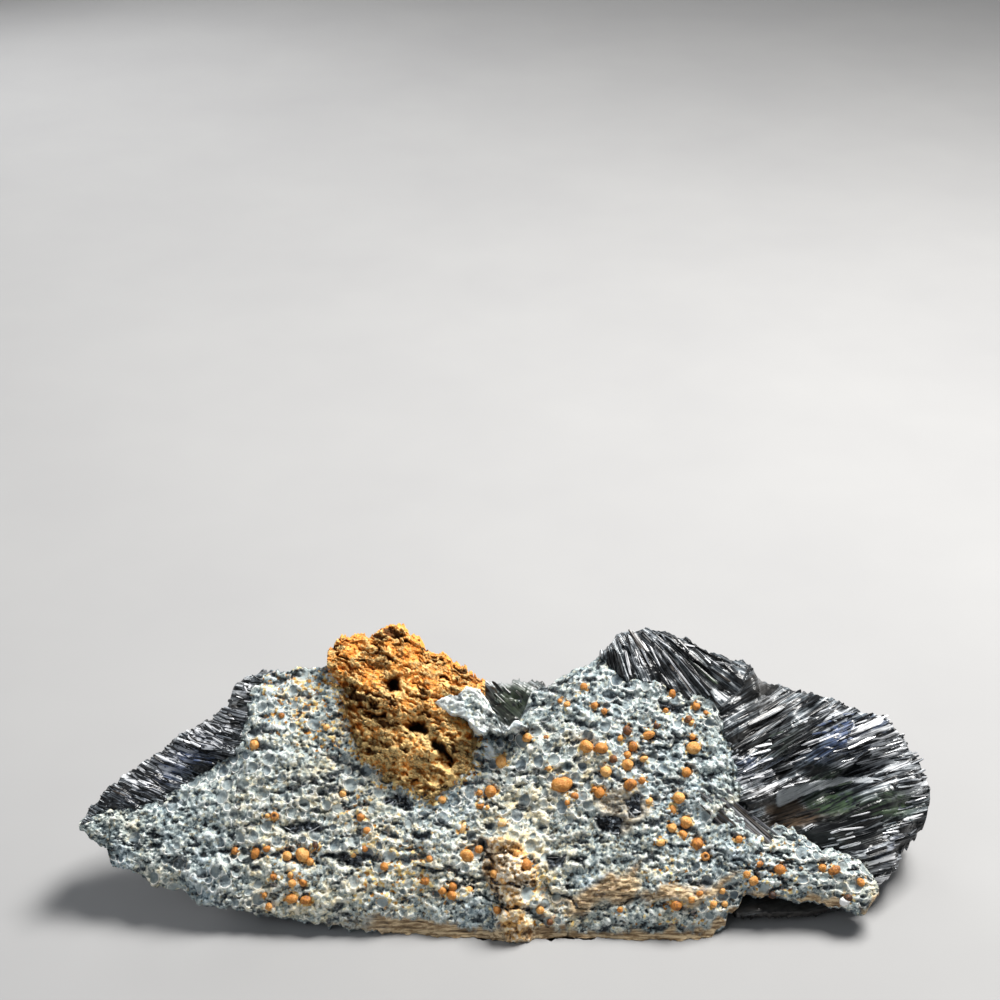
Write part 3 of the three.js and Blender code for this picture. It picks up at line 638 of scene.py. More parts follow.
def ironstone_paint():
    p = Paint("ironstone", Specular_IOR_Level=0.35)
    lift, tone, hollow = map(p.mark, ("lift", "tone", "hollow"))
    comb = p.mark("comb", "Vector")
    mottle, grit, cloud = p.noise(1.4, 4, 0.1), p.noise(0.3, 4, 0.6), p.noise(5, 3, 0.35)
    seams, thin = p.noise(1.0, 4, 0.1, (0.3, 0.95, 0.6), comb), p.noise(1.0, 3, 0.7, (0.8, 2.2, 1.4), comb)
    # Thin dark lines along and across the layers: painted shade in fine crevices, which exist only as bump.
    crevice_shade, fine = (
        1 - p.node("ShaderNodeMath", {"operation": "ABSOLUTE"}, n - 0.5).step(0.006, width)
        for n, width in ((seams, 0.035), (thin, 0.04))
    )
    crevice_shade = p.node("ShaderNodeMath", {"operation": "MAXIMUM"}, crevice_shade, 0.7 * fine)
    crevice_shade = crevice_shade * (cloud + 0.6 * (mottle - 0.5)).step(0.36, 0.56)
    # lift makes raised crumbs lighter and hollows darker: painted light and shade.
    shade = 0.64 + 0.22 * lift + 0.8 * (grit - 0.5) + 0.5 * (mottle - 0.5) + 0.5 * tone + 0.3 * (cloud - 0.5)
    colour = p.shades(
        shade, (0, 64, 28, 10), (0.18, 172, 86, 28), (0.38, 240, 138, 44),
        (0.64, 255, 172, 78), (0.96, 255, 218, 146),
    )
    # hollow paints holes, caves, pores and the rims round raised grains near black: painted shade.
    colour = p.mix(hollow, p.mix(0.7 * crevice_shade, colour, (74, 32, 12)), (26, 14, 8))
    relief = p.bump(grit + 0.5 * mottle - 0.5 * crevice_shade, 0.2)
    return p.finish(Base_Color=colour, Roughness=0.8 - 0.15 * tone, Normal=relief)


def bead_paint():
    p = Paint("oolith", Specular_IOR_Level=0.45)
    mottle, grit = p.noise(0.9, 4, 0.2), p.noise(0.25, 3, 0.5)
    shade = p.mark("tone") + 0.7 * (mottle - 0.5) + 0.7 * (grit - 0.5)
    colour = p.shades(
        shade, (0, 48, 34, 28), (0.28, 122, 76, 40), (0.5, 196, 126, 52),
        (0.78, 236, 180, 106), (1.0, 250, 232, 190), (1.3, 252, 252, 250),
    )
    # hollow paints the cups of hollow grains dark: painted shade in them.
    colour = p.mix(p.mark("hollow"), colour, (40, 26, 18))
    return p.finish(Base_Color=colour, Roughness=0.45 + 0.3 * mottle, Normal=p.bump(grit + mottle, 0.12))


def floor_paint():
    p = Paint("floor", Specular_IOR_Level=0.2)
    cloud = p.noise(60, 3)
    return p.finish(Base_Color=p.mix(cloud, (150, 150, 151), (160, 160, 160)), Roughness=0.8 + 0.1 * cloud)


RIND, CRYSTAL, IRONSTONE = rind_paint(), crystal_paint(), ironstone_paint()
OOLITH, FLOOR = bead_paint(), floor_paint()

# ---- the rind -----------------------------------------------------------------------------------

wide = Patch((-77, 66), (-6, 56), 0.5)
face = Patch((-76, 65), (-5, 53), 0.125)
shake = [rough(face.u / 0.8, face.v / 0.8, seed, 3, 0.6) for seed in (11, 21)]


def slab_base():
    """The slab's front without its pits, sockets, plate and bed for the ironstone."""
    front = probe("rind_slab", wide)
    front[inside_any([LUMP, FLAP], wide.u, wide.v) > -1.2] = math.nan
    for _ in range(2):
        smooth = filled(front, 3)
        front[front < smooth - 0.3] = math.nan
    return blur(filled(front, 2), 1.6)


def pressed(height, marks, u, v, radius, depth, tone, seed):
    """Presses a round imprint into the face, with a smooth floor and a thin rim on its lower side, raised and
    painted pale as a painted highlight.
    """
    rng = np.random.default_rng(seed)
    window = face.near(u, v, radius + 0.7)
    du, dv = face.u[window] - u + 0.14 * shake[0][window], face.v[window] - v + 0.14 * shake[1][window]
    turn, squeeze = rng.uniform(0, math.pi), rng.uniform(1, 1.35)
    a = (du * math.cos(turn) + dv * math.sin(turn)) * squeeze
    b = dv * math.cos(turn) - du * math.sin(turn)
    within = radius - np.hypot(a, b)
    angle = np.arctan2(dv, du)
    # arc, strongest on the lower side, raises the rim and paints it pale: painted highlight.
    arc = 0.35 + 0.8 * np.cos(angle + math.pi / 2 + rng.normal(0, 0.7)) + 0.25 * np.sin(3 * angle + turn)
    arc = np.clip(arc * rng.uniform(0.5, 1.2), 0, 1)
    floor = marks["level"][window] - 0.08 - depth * (1 - np.clip(1 - within / radius, 0, 1) ** 2)
    part = step(-0.05, 0.08, within)
    ridge = 0.12 * arc * np.exp(-(((within + 0.08) / 0.1) ** 2))
    height[window] = height[window] * (1 - part) + np.minimum(height[window], floor) * part + ridge
    nearer = within > marks["pit"][window]
    for name, value in (("pit", within), ("tone", tone), ("arc", arc), ("clear", rng.uniform(0.25, 1) ** 0.7)):
        marks[name][window] = np.where(nearer, value, marks[name][window])


def face_relief():
    """Height of every cell of the face and the marks that its paint reads."""
    u, v = face.u, face.v
    low, level = along(SLAB_LOW, u), wide.at(slab_base(), u, v)
    warp_u, warp_v = u + 0.5 * face.rough(1.6, 1.6, 101), v + 0.5 * face.rough(1.6, 1.6, 111)
    far_u, far_v = u + 1.3 * face.rough(3.4, 3.4, 102), v + 1.3 * face.rough(3.4, 3.4, 103)
    marks = {name: np.zeros_like(u) for name in ("arc", "tone", "clear")}
    marks["pit"] = np.zeros_like(u) - 0.7

    # Where the buff column, brown patches, brown lip, dark hollows and pale flap are, from 0 to 1.
    column = step(-0.5, 0.7, inside(COLUMN, far_u + 0.8 * face.rough(1.8, 1.4, 104), far_v))
    brown = step(-0.9, 0.9, inside_any(BROWN_PATCHES, far_u, far_v)) * (1 - 0.5 * step(15, 18, v))
    lip_top = low + 2.3 + 0.8 * face.rough(4, 4, 121) - 3 * step(-20, -38, u) - 2 * step(34, 38, u)
    lip = step(0.5, -0.4, v - lip_top + 0.6 * face.rough(1.2, 1.2, 122)) * (1 - column)
    lip = lip * step(-34, -16, u + 4 * face.rough(3, 3, 123))
    dark = step(-0.3, 0.4, inside_any(DARK_HOLLOWS, warp_u, warp_v))
    flap = step(-0.05, 0.12, inside(FLAP, warp_u, warp_v))
    calm = np.maximum(np.maximum(lip, 0.7 * brown), column)

    leaves, ragged = face.rough(5.0, 1.5, 131, 4, 0.6), face.rough(2.6, 2.2, 141, 5, 0.55)
    level = level + (0.32 * ragged + 0.16 * leaves) * (1 - 0.75 * lip)
    level = level + column * (0.6 + 0.35 * face.rough(1.3, 1.6, 151, 4, 0.6))
    flakes = 0.3 * chipped(warp_u / 2.2, warp_v / 1.0, 152)[0] + 0.2 * chipped(u / 0.8, v / 0.6, 155)[0]
    level = level + column * flakes
    level = level + brown * (0.2 + 0.2 * rough((u + 3 * v) / 5, (v - 0.3 * u) / 0.6, 153, 3))
    level = level - dark * (0.7 + 0.35 * chipped(warp_u / 0.9, warp_v / 0.5, 156)[0])
    ledge = step(8.4, 10.4, v) * step(18.2, 16.4, v)
    ledge_u = along([[8, -47.0], [17, -51.0]], v) + 0.4 * ragged
    level = level + 0.5 * ledge * (step(0.15, -0.15, u - ledge_u) - step(0.2, -2.4, u - ledge_u))
    flap_top = np.nanmedian(probe("rind_slab", Patch((-8, -4), (36, 38.5), 0.5)))
    flap_level = flap_top + 0.1 + 0.3 * ragged + 0.3 * chipped(warp_u / 1.6, warp_v / 0.8, 154)[0]
    level = level * (1 - flap) + flap_level * flap
    marks["level"] = level

    mealy = 0.12 * face.rough(0.7, 0.6, 161, 3, 0.65)
    leaf, _ = chipped(warp_u / 1.7, warp_v / 0.9, 162)
    crumb, _ = chipped(u / 0.62 + 0.3 * ragged, v / 0.5, 163)
    crevice = step(0.1, 0.0, np.abs(rough(warp_u / 2.2, warp_v / 1.3, 182, 3, 0.6)))
    crevice = crevice * step(-0.2, 0.5, face.rough(4, 3, 183, 2)) * (1 - lip)
    sharp = 0.16 * leaf + 0.17 * crumb - 0.4 * crevice
    sharp = sharp + 0.14 * (0.5 - np.abs(face.rough(1.2, 0.8, 181, 4, 0.6)))
    height = level + (mealy + sharp) * (1 - 0.85 * lip) * (1 - 0.5 * brown)

    patchy = face.rough(9, 9, 191, 2)

    def allowed(a, b):
        """How likely an imprint is at a place."""
        here = (np.array(a), np.array(b))
        if b < along(SLAB_LOW, a) + 0.2 or b > along(SLAB_HIGH, a) + 0.2:
            return 0
        return float(0.3 + 0.9 * face.at(patchy, *here) - 1.4 * face.at(calm + dark + flap, *here))

    rng = np.random.default_rng(7)
    imprints = strewn(1500, (-73, 62), (-1, 48), (0.22, 1.15), allowed, seed=5, apart=1.02, tries=8)
    for n, (a, b, radius) in enumerate(imprints):
        depth = radius * rng.uniform(0.1, 0.5)
        pressed(height, marks, a, b, radius, depth, rng.random(), 1000 + n)

    for line in CRACKS:
        gap = gap_to(line, u + 0.5 * leaf + 0.8 * ragged, v + 0.3 * crumb + 0.8 * leaves)
        height = height - 0.8 * np.exp(-((gap / 0.18) ** 2)) - 0.3 * np.exp(-((gap / 0.7) ** 2))
        # Cracks are painted dark: painted shade in them.
        dark = np.maximum(dark, 0.9 * step(0.24, 0.06, gap))
    gash = step(0.56, 0.85, face.rough(2.6, 1.3, 201, 4, 0.6)) * (1 - calm)
    lump = inside(LUMP, u, v)
    height = height - 0.55 * gash - 3.2 * step(0.6, 2.0, lump) * (1 - flap)

    def spots(table):
        """Soft round spots from rows of u, v, reach and strength."""
        return [power * np.exp(-(((u - a) ** 2 + (v - b) ** 2) / reach**2)) for a, b, reach, power in table]

    stain = np.maximum(np.max(spots(STAINS), axis=0), step(-3.4, 0.2, lump + 1.2 * ragged)) * (1 - flap)
    for a, b, width, tall, _ in BEADS:
        window = face.near(a, b, 2.4)
        d = np.hypot(u[window] - a, v[window] - b) - (width + tall) / 4
        stain[window] = np.maximum(stain[window], 0.7 * step(0.9, 0.1, d))
    white = 0.3 * flap
    for a, b, reach in WHITE_SPOTS:
        white = np.maximum(white, step(reach, reach * 0.5, np.hypot(warp_u - a, warp_v - b)))
    marks["stain"], marks["white"], marks["buff"], marks["brown"] = stain, white, column, np.maximum(brown, lip)
    marks["warm"] = np.clip(sum(spots(GLOW)) * (1 + 0.5 * patchy), 0, 1.2)
    # Gashes and crevices join the dark mark: painted shade in them. The rest of it is the dark crystals of the
    # hollows.
    marks["dark"] = np.maximum(dark, np.maximum(0.7 * gash, 0.75 * crevice))
    # lift, the height against its surroundings, is painted as light on raised parts and as shade in hollows.
    marks["lift"] = np.clip((height - blur(height, 6)) / 0.32, -1, 1.2) * (1 - 0.8 * lip)
    return height, marks


def slab_pieces():
    """Makes the slab's pieces. Gives the height of its face with and without imprints and grain."""
    height, marks = face_relief()
    back = wide.base("rind_slab", 1.2, front=False)
    # Sections stand closer together where the outline is steep.
    fine = np.arange(SLAB_LOW[0][0], SLAB_LOW[-1][0] + FINE / 2, FINE)
    climb = np.abs(np.gradient(along(SLAB_LOW, fine))) + np.abs(np.gradient(along(SLAB_HIGH, fine)))
    cost = np.cumsum(np.maximum(FINE, 0.3 * climb))
    ends = [start for _, start, _ in SLAB_PIECES[1:]] + [SLAB_LOW[-1][0]]
    for (name, start, across), end in zip(SLAB_PIECES, ends):
        first, last = np.interp([start, end], fine, cost)
        u = np.interp(np.linspace(first, last, int((last - first) / SECTION_GAP)), cost, fine)[:, None]
        u[0] = u[0] - OVERLAP * (start > SLAB_LOW[0][0])
        low = along(SLAB_LOW, u) + (0.45 * rough(u / 1.4, u * 0, 211) + 0.2 * rough(u / 0.5, u * 0, 221))
        high = along(SLAB_HIGH, u) + step(38, 42, u) * 0.7 * rough(u / 2.6, u * 0 + 4, 212)
        high = high + 0.35 * rough(u / 1.4, u * 0 + 9, 231) + 0.15 * rough(u / 0.5, u * 0, 241)
        high = np.maximum(high, low + 0.3)
        v, v_back = up_and_down(low, high, across, back_points=46)
        w = face.at(height, u + 0 * v, v) - 0.5 * step(0.5, 0, np.minimum(v - low, high - v))
        behind = wide.at(back, u + 0 * v_back, v_back)
        flutes = np.abs(rough((u - 0.4 * v_back) / 2.2, v_back / 9, 251, 4, 0.55))
        behind = behind + 0.6 * (0.5 - flutes) + 0.4 * rough(u / 1.1, v_back / 1.3, 261, 3)
        for out, slant, wide_, tall, seed in ((0.9, 0.4, 5, 6, 262), (0.5, 0.3, 1.8, 2.2, 263)):
            behind = behind + out * chipped((u - slant * v_back) / wide_, v_back / tall, seed)[0]
        behind = np.minimum(behind, face.at(height, u + 0 * v_back, v_back) - 0.5)

        def bulge(w_wall, upper):
            return 0.45 * rough(u / 1.2, w_wall / 1.0, 271 if upper else 281, 4, 0.6)

        points, faces, on_face = shell(u, low, high, (v, w), (v_back, behind), bulge, rows=34)
        where = points[:, 0], points[:, 1]
        read = {mark: face.at(values, *where) * on_face for mark, values in marks.items() if mark != "level"}
        top = face.at(marks["level"], *where)
        top[-2:] = 0  # the middles of both ends, which lie inside
        read["depth"] = (1 - on_face) * np.maximum(top - points[:, 2], 0)
        made("rind_" + name, points, faces, read, RIND, ["rind_slab"])
    return height, marks["level"]


surface, slab_level = slab_pieces()

# ---- the ironstone ------------------------------------------------------------------------------


def ironstone_piece():
    """The lump: layered crumbs, raised grains, pores and holes."""
    lump, coarse = Patch((-34, -3), (20, 55), 0.1), Patch((-34, -3), (20, 55), 0.4)
    u, v = lump.u, lump.v
    warp_u, warp_v = u + 0.35 * lump.rough(1, 1, 302), v + 0.35 * lump.rough(1, 1, 303)
    far, side = LAYER_U * warp_u - LAYER_V * warp_v, LAYER_U * warp_v + LAYER_V * warp_u
    layer, layer_tone = chipped(far / 2.2, side / 0.8, 304)
    chip, chip_tone = chipped(far / 0.8, side / 0.42, 305)
    crumb, crumb_tone = chipped(far / 0.36, side / 0.3, 306)
    relief = 0.35 * lump.rough(3.4, 2, 301, 4, 0.6) + 0.2 * layer + 0.18 * chip + 0.13 * crumb
    relief = relief + 0.14 * lump.rough(0.45, 0.36, 311, 3, 0.7)
    height = coarse.at(coarse.base("ironstone", 1.8), u, v) + relief
    # It dips under the slab along its ragged lower edge.
    edge = 0.9 * inside(LUMP, u, v) + 1.1 * lump.rough(1.5, 1.1, 381, 4, 0.6)
    above = 1 - step(1.0, -0.4, v - along(SLAB_HIGH, u))
    height = np.minimum(height, face.at(slab_level, u, v) + 0.7 * relief + 1.1 * edge + 60 * above)

    shaken = u + 0.5 * lump.rough(1, 1, 321), v + 0.5 * lump.rough(1, 1, 331)
    hollow = step(-0.4, 0.5, inside_any(HOLES, *shaken))
    # Below v = 38 the tone rises: painted light on the lower part, which faces away from the lamps.
    tone = 0.3 * layer_tone + 0.35 * chip_tone + 0.35 * crumb_tone + 0.42 * step(38, 30, v)
    rng = np.random.default_rng(41)
    level, ring = height.copy(), np.zeros_like(u)
    grains = strewn(1500, (-32, -4), (22, 53), (0.14, 0.46), lambda a, b: 1, seed=43, apart=0.9, tries=5)
    for a, b, radius in np.vstack([LARGE_GRAINS, grains]):
        window = lump.near(a, b, radius + 0.3)
        d = np.hypot(u[window] - a, v[window] - b)
        cap = np.sqrt(np.maximum(radius**2 - d**2, 0))
        raised = lump.at(level, np.array(a), np.array(b)) - rng.uniform(0.3, 0.9) * radius + cap
        on = (d < radius) & (raised > height[window])
        height[window] = np.where(on, raised, height[window])
        tone[window] = np.where(on, rng.uniform(0.3, 0.8), tone[window])
        # A thin ring round each larger grain, painted dark: painted shade where the grain meets the surface.
        around = 0.8 * (radius > 0.25) * np.exp(-(((d - radius) / 0.1) ** 2))
        ring[window] = np.maximum(ring[window] * ~on, around)
    caves = step(0.6, 0.75, rough(far / 2.8, side / 1.1, 344, 4, 0.6))
    seams = step(0.07, 0.0, np.abs(rough(far / 2.6, side / 0.8, 342, 3, 0.6)))
    seams = 0.9 * seams * step(-0.3, 0.4, lump.rough(3, 3, 343, 2))
    pores = np.maximum(step(0.5, 0.75, rough(far / 2.2, side / 0.7, 341, 4, 0.6)), seams)
    height = height - 2.6 * hollow - 0.9 * caves - 0.6 * pores
    hollow = np.maximum(hollow, 0.85 * caves)

    columns = np.linspace(-31.6, -4.2, 190)[:, None]
    low = along(LUMP_LOW, columns) + 0.4 * rough(columns / 1.2, columns * 0, 351) - 1.2
    high = along(LUMP_HIGH, columns) + 0.5 * rough(columns / 1.4, columns * 0, 361)
    high = high + 0.35 * rough(columns / 0.5, columns * 0, 362, 2)
    rows, rows_back = up_and_down(low, high, front_points=190, back_points=40)
    front = lump.at(height, columns + 0 * rows, rows) - 0.8 * step(0.8, 0, high - rows)
    under = coarse.at(coarse.base("ironstone", 1.5, front=False), columns + 0 * rows_back, rows_back)
    under = under + 0.5 * rough(columns / 1.5, rows_back / 1.5, 371)
    under = under + 0.7 * chipped((columns + 0 * rows_back) / 2.2, rows_back / 1.8, 372)[0]
    under = np.minimum(under, lump.at(height, columns + 0 * rows_back, rows_back) - 1)

    def bulge(w, upper):
        seed = 391 if upper else 392
        chips = chipped((columns + 0 * w) / 2, w / 1.6, seed + 500)[0]
        return 0.6 * rough(columns / 1.1, w / 1.1, seed, 4, 0.6) + 0.6 * chips

    points, faces, seen = shell(columns, low, high, (rows, front), (rows_back, under), bulge, rows=26)
    a, b, w = points.T
    # lift, the height against its surroundings, is painted as light on raised parts and as shade in hollows.
    lift = np.clip((height - blur(height, 6)) / 0.35, -1, 1.2)
    # Holes, caves, pores and the rings round grains are painted near black: painted shade.
    hollow = np.maximum(hollow, np.maximum(0.5 * pores, 0.6 * ring))
    marks = {"lift": lift, "tone": tone - 0.45, "hollow": hollow}
    read = {mark: lump.at(values, a, b) * seen for mark, values in marks.items()}
    read["comb"] = np.stack([LAYER_U * a - LAYER_V * b, LAYER_U * b + LAYER_V * a, w], -1) / 1000
    made("ironstone_lump", points, faces, read, IRONSTONE, ["ironstone"])


ironstone_piece()

# ---- the ooliths --------------------------------------------------------------------------------


def bead_piece():
    """One rounded and dented grain for each row of BEADS."""
    rng = np.random.default_rng(51)
    rows, size = 9, 14
    polar = np.linspace(0.16, math.pi - 0.16, rows)[:, None]
    spin = np.linspace(0, 2 * math.pi, size, endpoint=False)[None, :]
    ball = np.stack([np.cos(spin) * np.sin(polar), np.sin(spin) * np.sin(polar), -np.cos(polar) + 0 * spin], -1)
    x, y, z = np.moveaxis(ball, -1, 0)
    rings, tone, pit = [], [], []
    smooth = blur(surface, 8)
    for u, v, width, tall, kind in BEADS:
        radii = np.array([width, tall, min(width, tall) * 1.05]) / 2
        dents = 1 + 0.13 * noise(x * 1.5 + u, y * 1.5 + z + v, 61)
        dents = dents + 0.06 * noise(x * 4 + v, y * 4 + z * 3 + u, 62)
        cup = step(0.75, 1.0, z) * (kind == "c")
        tilt = rng.uniform(-0.5, 0.5) if width / tall < 1.2 else 0.35
        shape = ball * radii * dents[..., None] - np.stack([0 * cup, 0 * cup, 0.5 * cup * radii[2]], -1)
        a, b, w = np.moveaxis(shape, -1, 0)
        turned = [a * math.cos(tilt) - b * math.sin(tilt), a * math.sin(tilt) + b * math.cos(tilt), w]
        sunk = (0.4 if kind == "p" else 0.05) * radii[2]
        middle = np.array([u, v, face.at(smooth, np.array(u), np.array(v)) - sunk])
        rings.append(np.stack(turned, -1) + middle)
        tone.append(np.full(rows * size + 2, rng.uniform(*BEAD_TONES[kind])))
        # The cups of hollow grains are marked to be painted dark: painted shade.
        pit.append(np.append(cup.ravel(), [0, 0.9 * (kind == "c")]))
    points, faces = lofted(np.array(rings))
    read = {"tone": np.concatenate(tone), "hollow": np.concatenate(pit)}
    solids = [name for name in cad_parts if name.startswith("oolith_")]
    made("ooliths", points, faces, read, OOLITH, solids)


bead_piece()

# ---- the crystals -------------------------------------------------------------------------------

# The places, u and v, that the blades of each group spread from, and about how far off the group is.
FAN_FROM, CREST_FROM, EDGE_FROM = (-45, -14.3, 100), (14.8, 62.6, 22), (-180, 77, 130)
NOTCH_FROM, HOLLOW_FROM = (-60, 100, 60), (-160, 8, 160)

# Sizes of loose blades: the ranges of their length, width and thickness.
LONG, THIN = ((4, 14), (0.4, 1.2), (0.2, 0.5)), ((1, 5), (0.15, 0.5), (0.15, 0.4))
SHORT, STUBBY = ((0.8, 3.6), (0.2, 0.7), (0.15, 0.4)), ((1, 3), (0.3, 0.8), (0.2, 0.4))
TINY = (0.6, 2.4), (0.15, 0.5), (0.15, 0.4)
SHORTEST = 0.6  # length of a loose blade
STEPS = 40  # in which a blade grows until it meets the edge of its group
LATH_BREADTH = 0.42  # of the laths that make up a crystal that stands out

# Crystals that stand out in the fan: u, v of both ends, breadth and look: "w" silver, "b" blue-white,
# "c" cream, "p" pale, "s" streaked, "g" green, "n" brown, "u" blue and "k" black. The silver, blue-white and
# cream crystals carry painted gleam, a painted highlight.
NAMED = [
    [60.5, 34.6, 66.8, 37.5, 1.2, "w"], [59, 33.7, 63.8, 35.6, 0.4, "w"], [60.8, 35.9, 65.6, 37.4, 0.5, "w"],
    [59.1, 31.6, 67, 35, 0.6, "w"], [59.3, 30.7, 69.9, 34.4, 0.6, "w"], [58.6, 29.6, 69.6, 32.6, 0.5, "w"],
    [61.5, 29.3, 69, 31.2, 0.5, "w"], [62.6, 31.4, 70.1, 33.4, 0.4, "w"], [66.1, 27.5, 70.1, 29.2, 0.8, "w"],
    [57.5, 33, 60.2, 34.2, 0.4, "w"], [56.9, 31.2, 60.6, 32.4, 0.3, "w"], [42.8, 23.4, 46.6, 25.2, 0.5, "c"],
    [49.3, 25.6, 51.9, 26.2, 0.4, "c"], [47.3, 24.8, 49.3, 25.3, 0.3, "c"], [36.6, 29.2, 39.3, 30.2, 0.8, "b"],
    [40.7, 25.5, 45.9, 27.8, 1, "b"], [38.7, 25.7, 42.4, 27, 0.6, "b"], [40, 27.2, 43.7, 28.5, 0.6, "b"],
    [43, 28.7, 45.5, 29.7, 0.5, "b"], [36.3, 30.7, 38.3, 31.4, 0.5, "b"], [41.8, 30.2, 45, 31.2, 0.4, "b"],
    [42.6, 31.7, 46, 32.4, 0.4, "b"], [38.5, 27.3, 40.5, 28, 0.4, "b"], [51, 32.2, 54.5, 33.4, 0.4, "w"],
    [50.4, 30.7, 52.9, 31.4, 0.3, "w"], [52.9, 29.7, 55.4, 30.3, 0.3, "w"], [48.9, 29, 51.4, 30, 0.3, "w"],
    [46.1, 33.4, 51.6, 36.1, 0.4, "w"], [49.6, 36.1, 52.9, 37.4, 0.3, "w"], [53.7, 37.6, 57.2, 39, 0.5, "p"],
    [50.6, 36.6, 53.7, 37.9, 0.3, "p"], [44.3, 33.2, 48.1, 34.6, 0.3, "g"], [64.5, 23.9, 68.9, 22.9, 0.6, "g"],
    [56.7, 25.1, 60.6, 26.2, 0.4, "g"], [50.1, 20.2, 54, 21.2, 0.6, "n"], [46.4, 28, 49.4, 29, 1.2, "k"],
    [56.8, 34.2, 60.6, 36.1, 0.8, "u"], [56.5, 35.1, 59.6, 36.4, 0.6, "u"], [57.1, 37.4, 60.9, 38, 0.4, "u"],
    [53.6, 35.4, 56.8, 36.6, 0.4, "u"], [51.8, 33.9, 55.5, 34.6, 0.3, "u"], [54.9, 16.9, 56.9, 17.6, 0.4, "w"],
    [57.2, 14.6, 60.4, 15.4, 0.5, "w"], [59.8, 16.8, 63.2, 17.6, 0.4, "w"], [56.8, 15.9, 59.8, 16.6, 0.3, "w"],
    [61.5, 12, 67.8, 13.7, 1, "w"], [68, 19.3, 72.2, 20.5, 0.4, "w"], [64.4, 17, 67.9, 17.5, 0.5, "b"],
    [65.1, 15.9, 68.1, 16.6, 0.5, "b"], [64.6, 14.7, 67.8, 15.4, 0.4, "p"], [60.8, 13.2, 64.6, 14.4, 1, "k"],
    [69.5, 16.6, 71.6, 18.1, 0.4, "p"], [67, 25.8, 71, 26.3, 0.4, "p"], [67.2, 24.8, 71.9, 25.6, 0.3, "p"],
    [69.3, 22.4, 72.8, 23.4, 0.3, "w"], [71.1, 23.9, 73.2, 25.1, 0.3, "p"], [69.7, 30.7, 72.7, 31.4, 0.3, "p"],
    [71.1, 29.2, 73.4, 30.2, 0.3, "p"], [51, 17.6, 53, 18.7, 0.7, "w"], [38.4, 25.8, 46.1, 27.8, 1.7, "b"],
    [38.6, 24.4, 41.5, 25.2, 0.8, "b"], [41.5, 26.1, 44.4, 26.9, 0.6, "b"], [36.5, 30.3, 39.4, 31.5, 0.8, "b"],
    [36.5, 31.5, 38.2, 32.3, 0.6, "p"], [46.8, 28.2, 50.3, 29.5, 0.5, "w"], [63.3, 10.6, 66.8, 11.7, 0.7, "w"],
    [64.7, 16.4, 68.1, 16.9, 0.5, "w"], [68.2, 19.3, 72.3, 20.3, 0.6, "w"], [67.1, 18.4, 69.9, 19, 0.5, "w"],
    [55.5, 16.2, 59.6, 17.3, 0.3, "w"], [56.7, 17.6, 61.3, 18.1, 0.3, "w"], [54.3, 14.8, 57.2, 15.3, 0.3, "w"],
    [51.6, 17.6, 52.8, 18.7, 0.8, "w"], [58.8, 19.8, 62.6, 20.7, 0.3, "w"], [60.2, 19, 64.8, 20.1, 0.3, "p"],
    [69.7, 26.6, 73.2, 26.9, 0.3, "p"], [70.2, 24.9, 73.1, 25.4, 0.3, "p"], [70.4, 23.5, 73.3, 23.8, 0.3, "w"],
    [69.5, 22.4, 73, 22.9, 0.3, "p"], [71.1, 30.1, 72.8, 30.9, 0.3, "p"], [67.8, 21.2, 70.7, 21.8, 0.3, "p"],
    [64, 26.1, 67.4, 24.9, 0.6, "k"], [51.4, 29.2, 56.1, 30.9, 0.3, "p"], [49.2, 30.3, 52.1, 31.5, 0.3, "w"],
    [52.7, 32.3, 57.4, 34.1, 0.3, "w"], [18.2, 48.1, 19.3, 43.5, 1.7, "k"], [20.3, 48.4, 21.1, 44.6, 0.5, "w"],
    [21.2, 52.2, 23.7, 48.4, 0.5, "n"], [22, 52, 24.7, 48.1, 0.5, "n"], [20.7, 51.6, 21.2, 48.8, 0.3, "k"],
    [23.3, 50.9, 24.7, 48.2, 0.3, "w"], [24.7, 49.5, 26.4, 45.8, 0.3, "w"], [25.7, 48.9, 26.8, 46.8, 0.3, "w"],
    [22.6, 50.2, 24.6, 46, 0.3, "p"], [26, 46.3, 27.4, 43.8, 0.4, "p"], [23.4, 52, 27.1, 47.7, 0.7, "k"],
    [24.4, 52.1, 28.2, 49.1, 0.4, "p"], [25.4, 52.1, 29.6, 47.7, 0.4, "k"], [26.8, 51.8, 33, 43.5, 0.5, "p"],
    [27.8, 51.6, 33.6, 43.2, 0.3, "k"], [27.1, 47.9, 32.9, 40.4, 0.5, "b"], [27.8, 48.1, 33.6, 40.7, 0.5, "k"],
    [29.2, 47.7, 34.6, 40.9, 0.3, "p"], [30.2, 47, 35.3, 41.4, 0.6, "k"], [29.6, 50.6, 31.7, 48.2, 0.5, "k"],
    [30.5, 49.1, 32.4, 46.6, 0.3, "w"], [31.6, 47, 36.4, 42.5, 0.5, "g"], [30.1, 49.8, 32.4, 49.4, 0.3, "c"],
    [32.4, 49, 35.1, 46.2, 0.6, "k"], [33.1, 48.6, 35.1, 46.5, 0.3, "p"], [34.5, 47.5, 37.3, 45.3, 0.3, "w"],
    [35.4, 46.7, 38.8, 46, 0.3, "w"], [34.8, 45.6, 38.2, 43.2, 0.5, "n"], [33.7, 44.2, 37.1, 42.1, 0.4, "k"],
    [28.1, 46, 31.5, 41.4, 0.5, "n"], [25.4, 50.5, 27.1, 48.8, 0.4, "p"], [22.2, 48.4, 22.7, 46.3, 0.3, "w"],
    [22.9, 47.4, 23.6, 45.6, 0.3, "p"], [26.7, 44.2, 28, 42.1, 0.3, "p"], [21.5, 47.7, 22.2, 45.6, 0.3, "p"],
]
